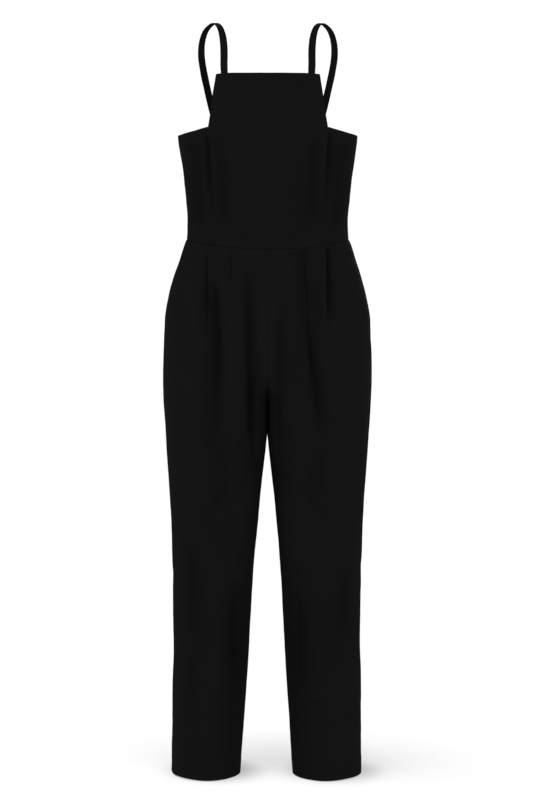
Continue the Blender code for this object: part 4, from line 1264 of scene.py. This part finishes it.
for node, slot, finish in (
    ("zip_tape_left", "zip_tape", TAPE),
    ("zip_tape_right", "zip_tape", TAPE),
    ("zip_slider", "zip_metal", ZINC),
    ("zip_pull", "zip_metal", ZINC),
):
    part = frame["nodes"][node]
    part.data.materials.clear()
    part.data.materials.append(finish)

# ---------------------------------------------------------------- floor, lights and camera
# painted shade on the floor, where the garment would throw it: how far away it is felt, the way to the light,
# # and how open the sky is and how white the paper where the shade is full
CONTACT_SHADE = (0.055, (-0.36, -0.20, 0.85), 0.45, 0.72)
CAST_SHADE = (0.30, (-0.40, -0.80, 0.46), 0.45, 0.62)
EYE = (-0.0023, -4.5, -0.20)
TILT_DOWN, ROLL = 5.912, -0.11  # degrees
FLOOR_Z = cad_low.z - 0.0012  # just under the hems


def floor():
    """Seamless paper, white but for the soft painted shade where the hems stand on it, which falls back and
    towards +X."""
    made, tree = material("seamless_white_paper")
    shades = []
    for distance, toward, near, white in (CONTACT_SHADE, CAST_SHADE):
        way = add(tree, "ShaderNodeCombineXYZ", dict(enumerate(toward)))
        seen = {"Distance": distance, "Normal": way}
        sky = add(tree, "ShaderNodeAmbientOcclusion", seen, samples=12, out="AO")
        shade = {"Value": sky, "From Min": near, "From Max": 0.96, "To Min": white, "To Max": 1.01}
        shades.append(add(tree, "ShaderNodeMapRange", shade))
    both = add(tree, "ShaderNodeMath", dict(enumerate(shades)), operation="MULTIPLY")
    # the paper glows white, dimmed where the painted shade lies
    add(tree, "ShaderNodeOutputMaterial", {0: add(tree, "ShaderNodeEmission", {"Strength": both})})
    bpy.ops.mesh.primitive_plane_add(size=60, location=(0, 0, FLOOR_Z))
    sheet = bpy.context.object
    sheet.name = "floor"
    sheet.visible_diffuse = sheet.visible_glossy = False  # its white would veil the black cloth
    sheet.data.materials.append(made)


def world():
    """White to the camera and dim for the garment, so that the black cloth isn't veiled."""
    space = bpy.data.worlds.new("white_space")
    bpy.context.scene.world = space
    space.use_nodes = True
    tree = space.node_tree
    tree.nodes.clear()
    seen = add(tree, "ShaderNodeLightPath", out="Is Camera Ray")
    strength = add(tree, "ShaderNodeMapRange", {"Value": seen, "To Min": 0.205, "To Max": 1.05})
    glow = add(tree, "ShaderNodeBackground", {"Color": linear("#ffffff"), "Strength": strength})
    add(tree, "ShaderNodeOutputWorld", {0: glow})


def light(name, place_at, aim_z, size, power):
    """Soft box that looks at the garment's middle line."""
    lamp = bpy.data.lights.new(name, "AREA")
    lamp.shape, lamp.size, lamp.size_y, lamp.energy = "RECTANGLE", size[0], size[1], power
    box = shown(name, lamp)
    box.location = place_at
    box.rotation_euler = (Vector((0, 0, aim_z)) - Vector(place_at)).to_track_quat("-Z", "Y").to_euler()


def camera():
    """Long lens at the height of the underarms, tilted down a little."""
    eye = bpy.data.cameras.new("camera")
    eye.lens, eye.sensor_width = 113.756, 36.0
    eye.clip_start, eye.clip_end = 0.05, 100.0
    seen = shown("camera", eye)
    seen.location = EYE
    seen.rotation_euler = (math.radians(90 - TILT_DOWN), math.radians(ROLL), 0.0)
    bpy.context.scene.camera = seen


floor()
world()
# left and right are as the camera sees them
light("front_left", (-2.7, -3.0, 0.5), -0.60, (0.9, 2.0), 24.0)
light("front_right", (2.7, -3.1, 0.35), -0.60, (1.0, 2.2), 19.3)
light("front_low", (0.3, -3.4, -0.9), -0.50, (1.4, 0.9), 36.5)
light("beside_left", (-3.2, 0.5, -0.5), -0.80, (1.0, 1.8), 19.0)
light("beside_right", (3.2, 0.5, -0.3), -0.65, (1.0, 1.8), 15.0)
light("behind", (0.8, 3.4, 0.9), -0.65, (1.2, 2.2), 42)
light("above", (0, -0.4, 2.6), -0.60, (2.4, 2.4), 8)
camera()
bpy.context.scene.view_settings.view_transform = "Standard"
bpy.context.scene.view_settings.look = "None"
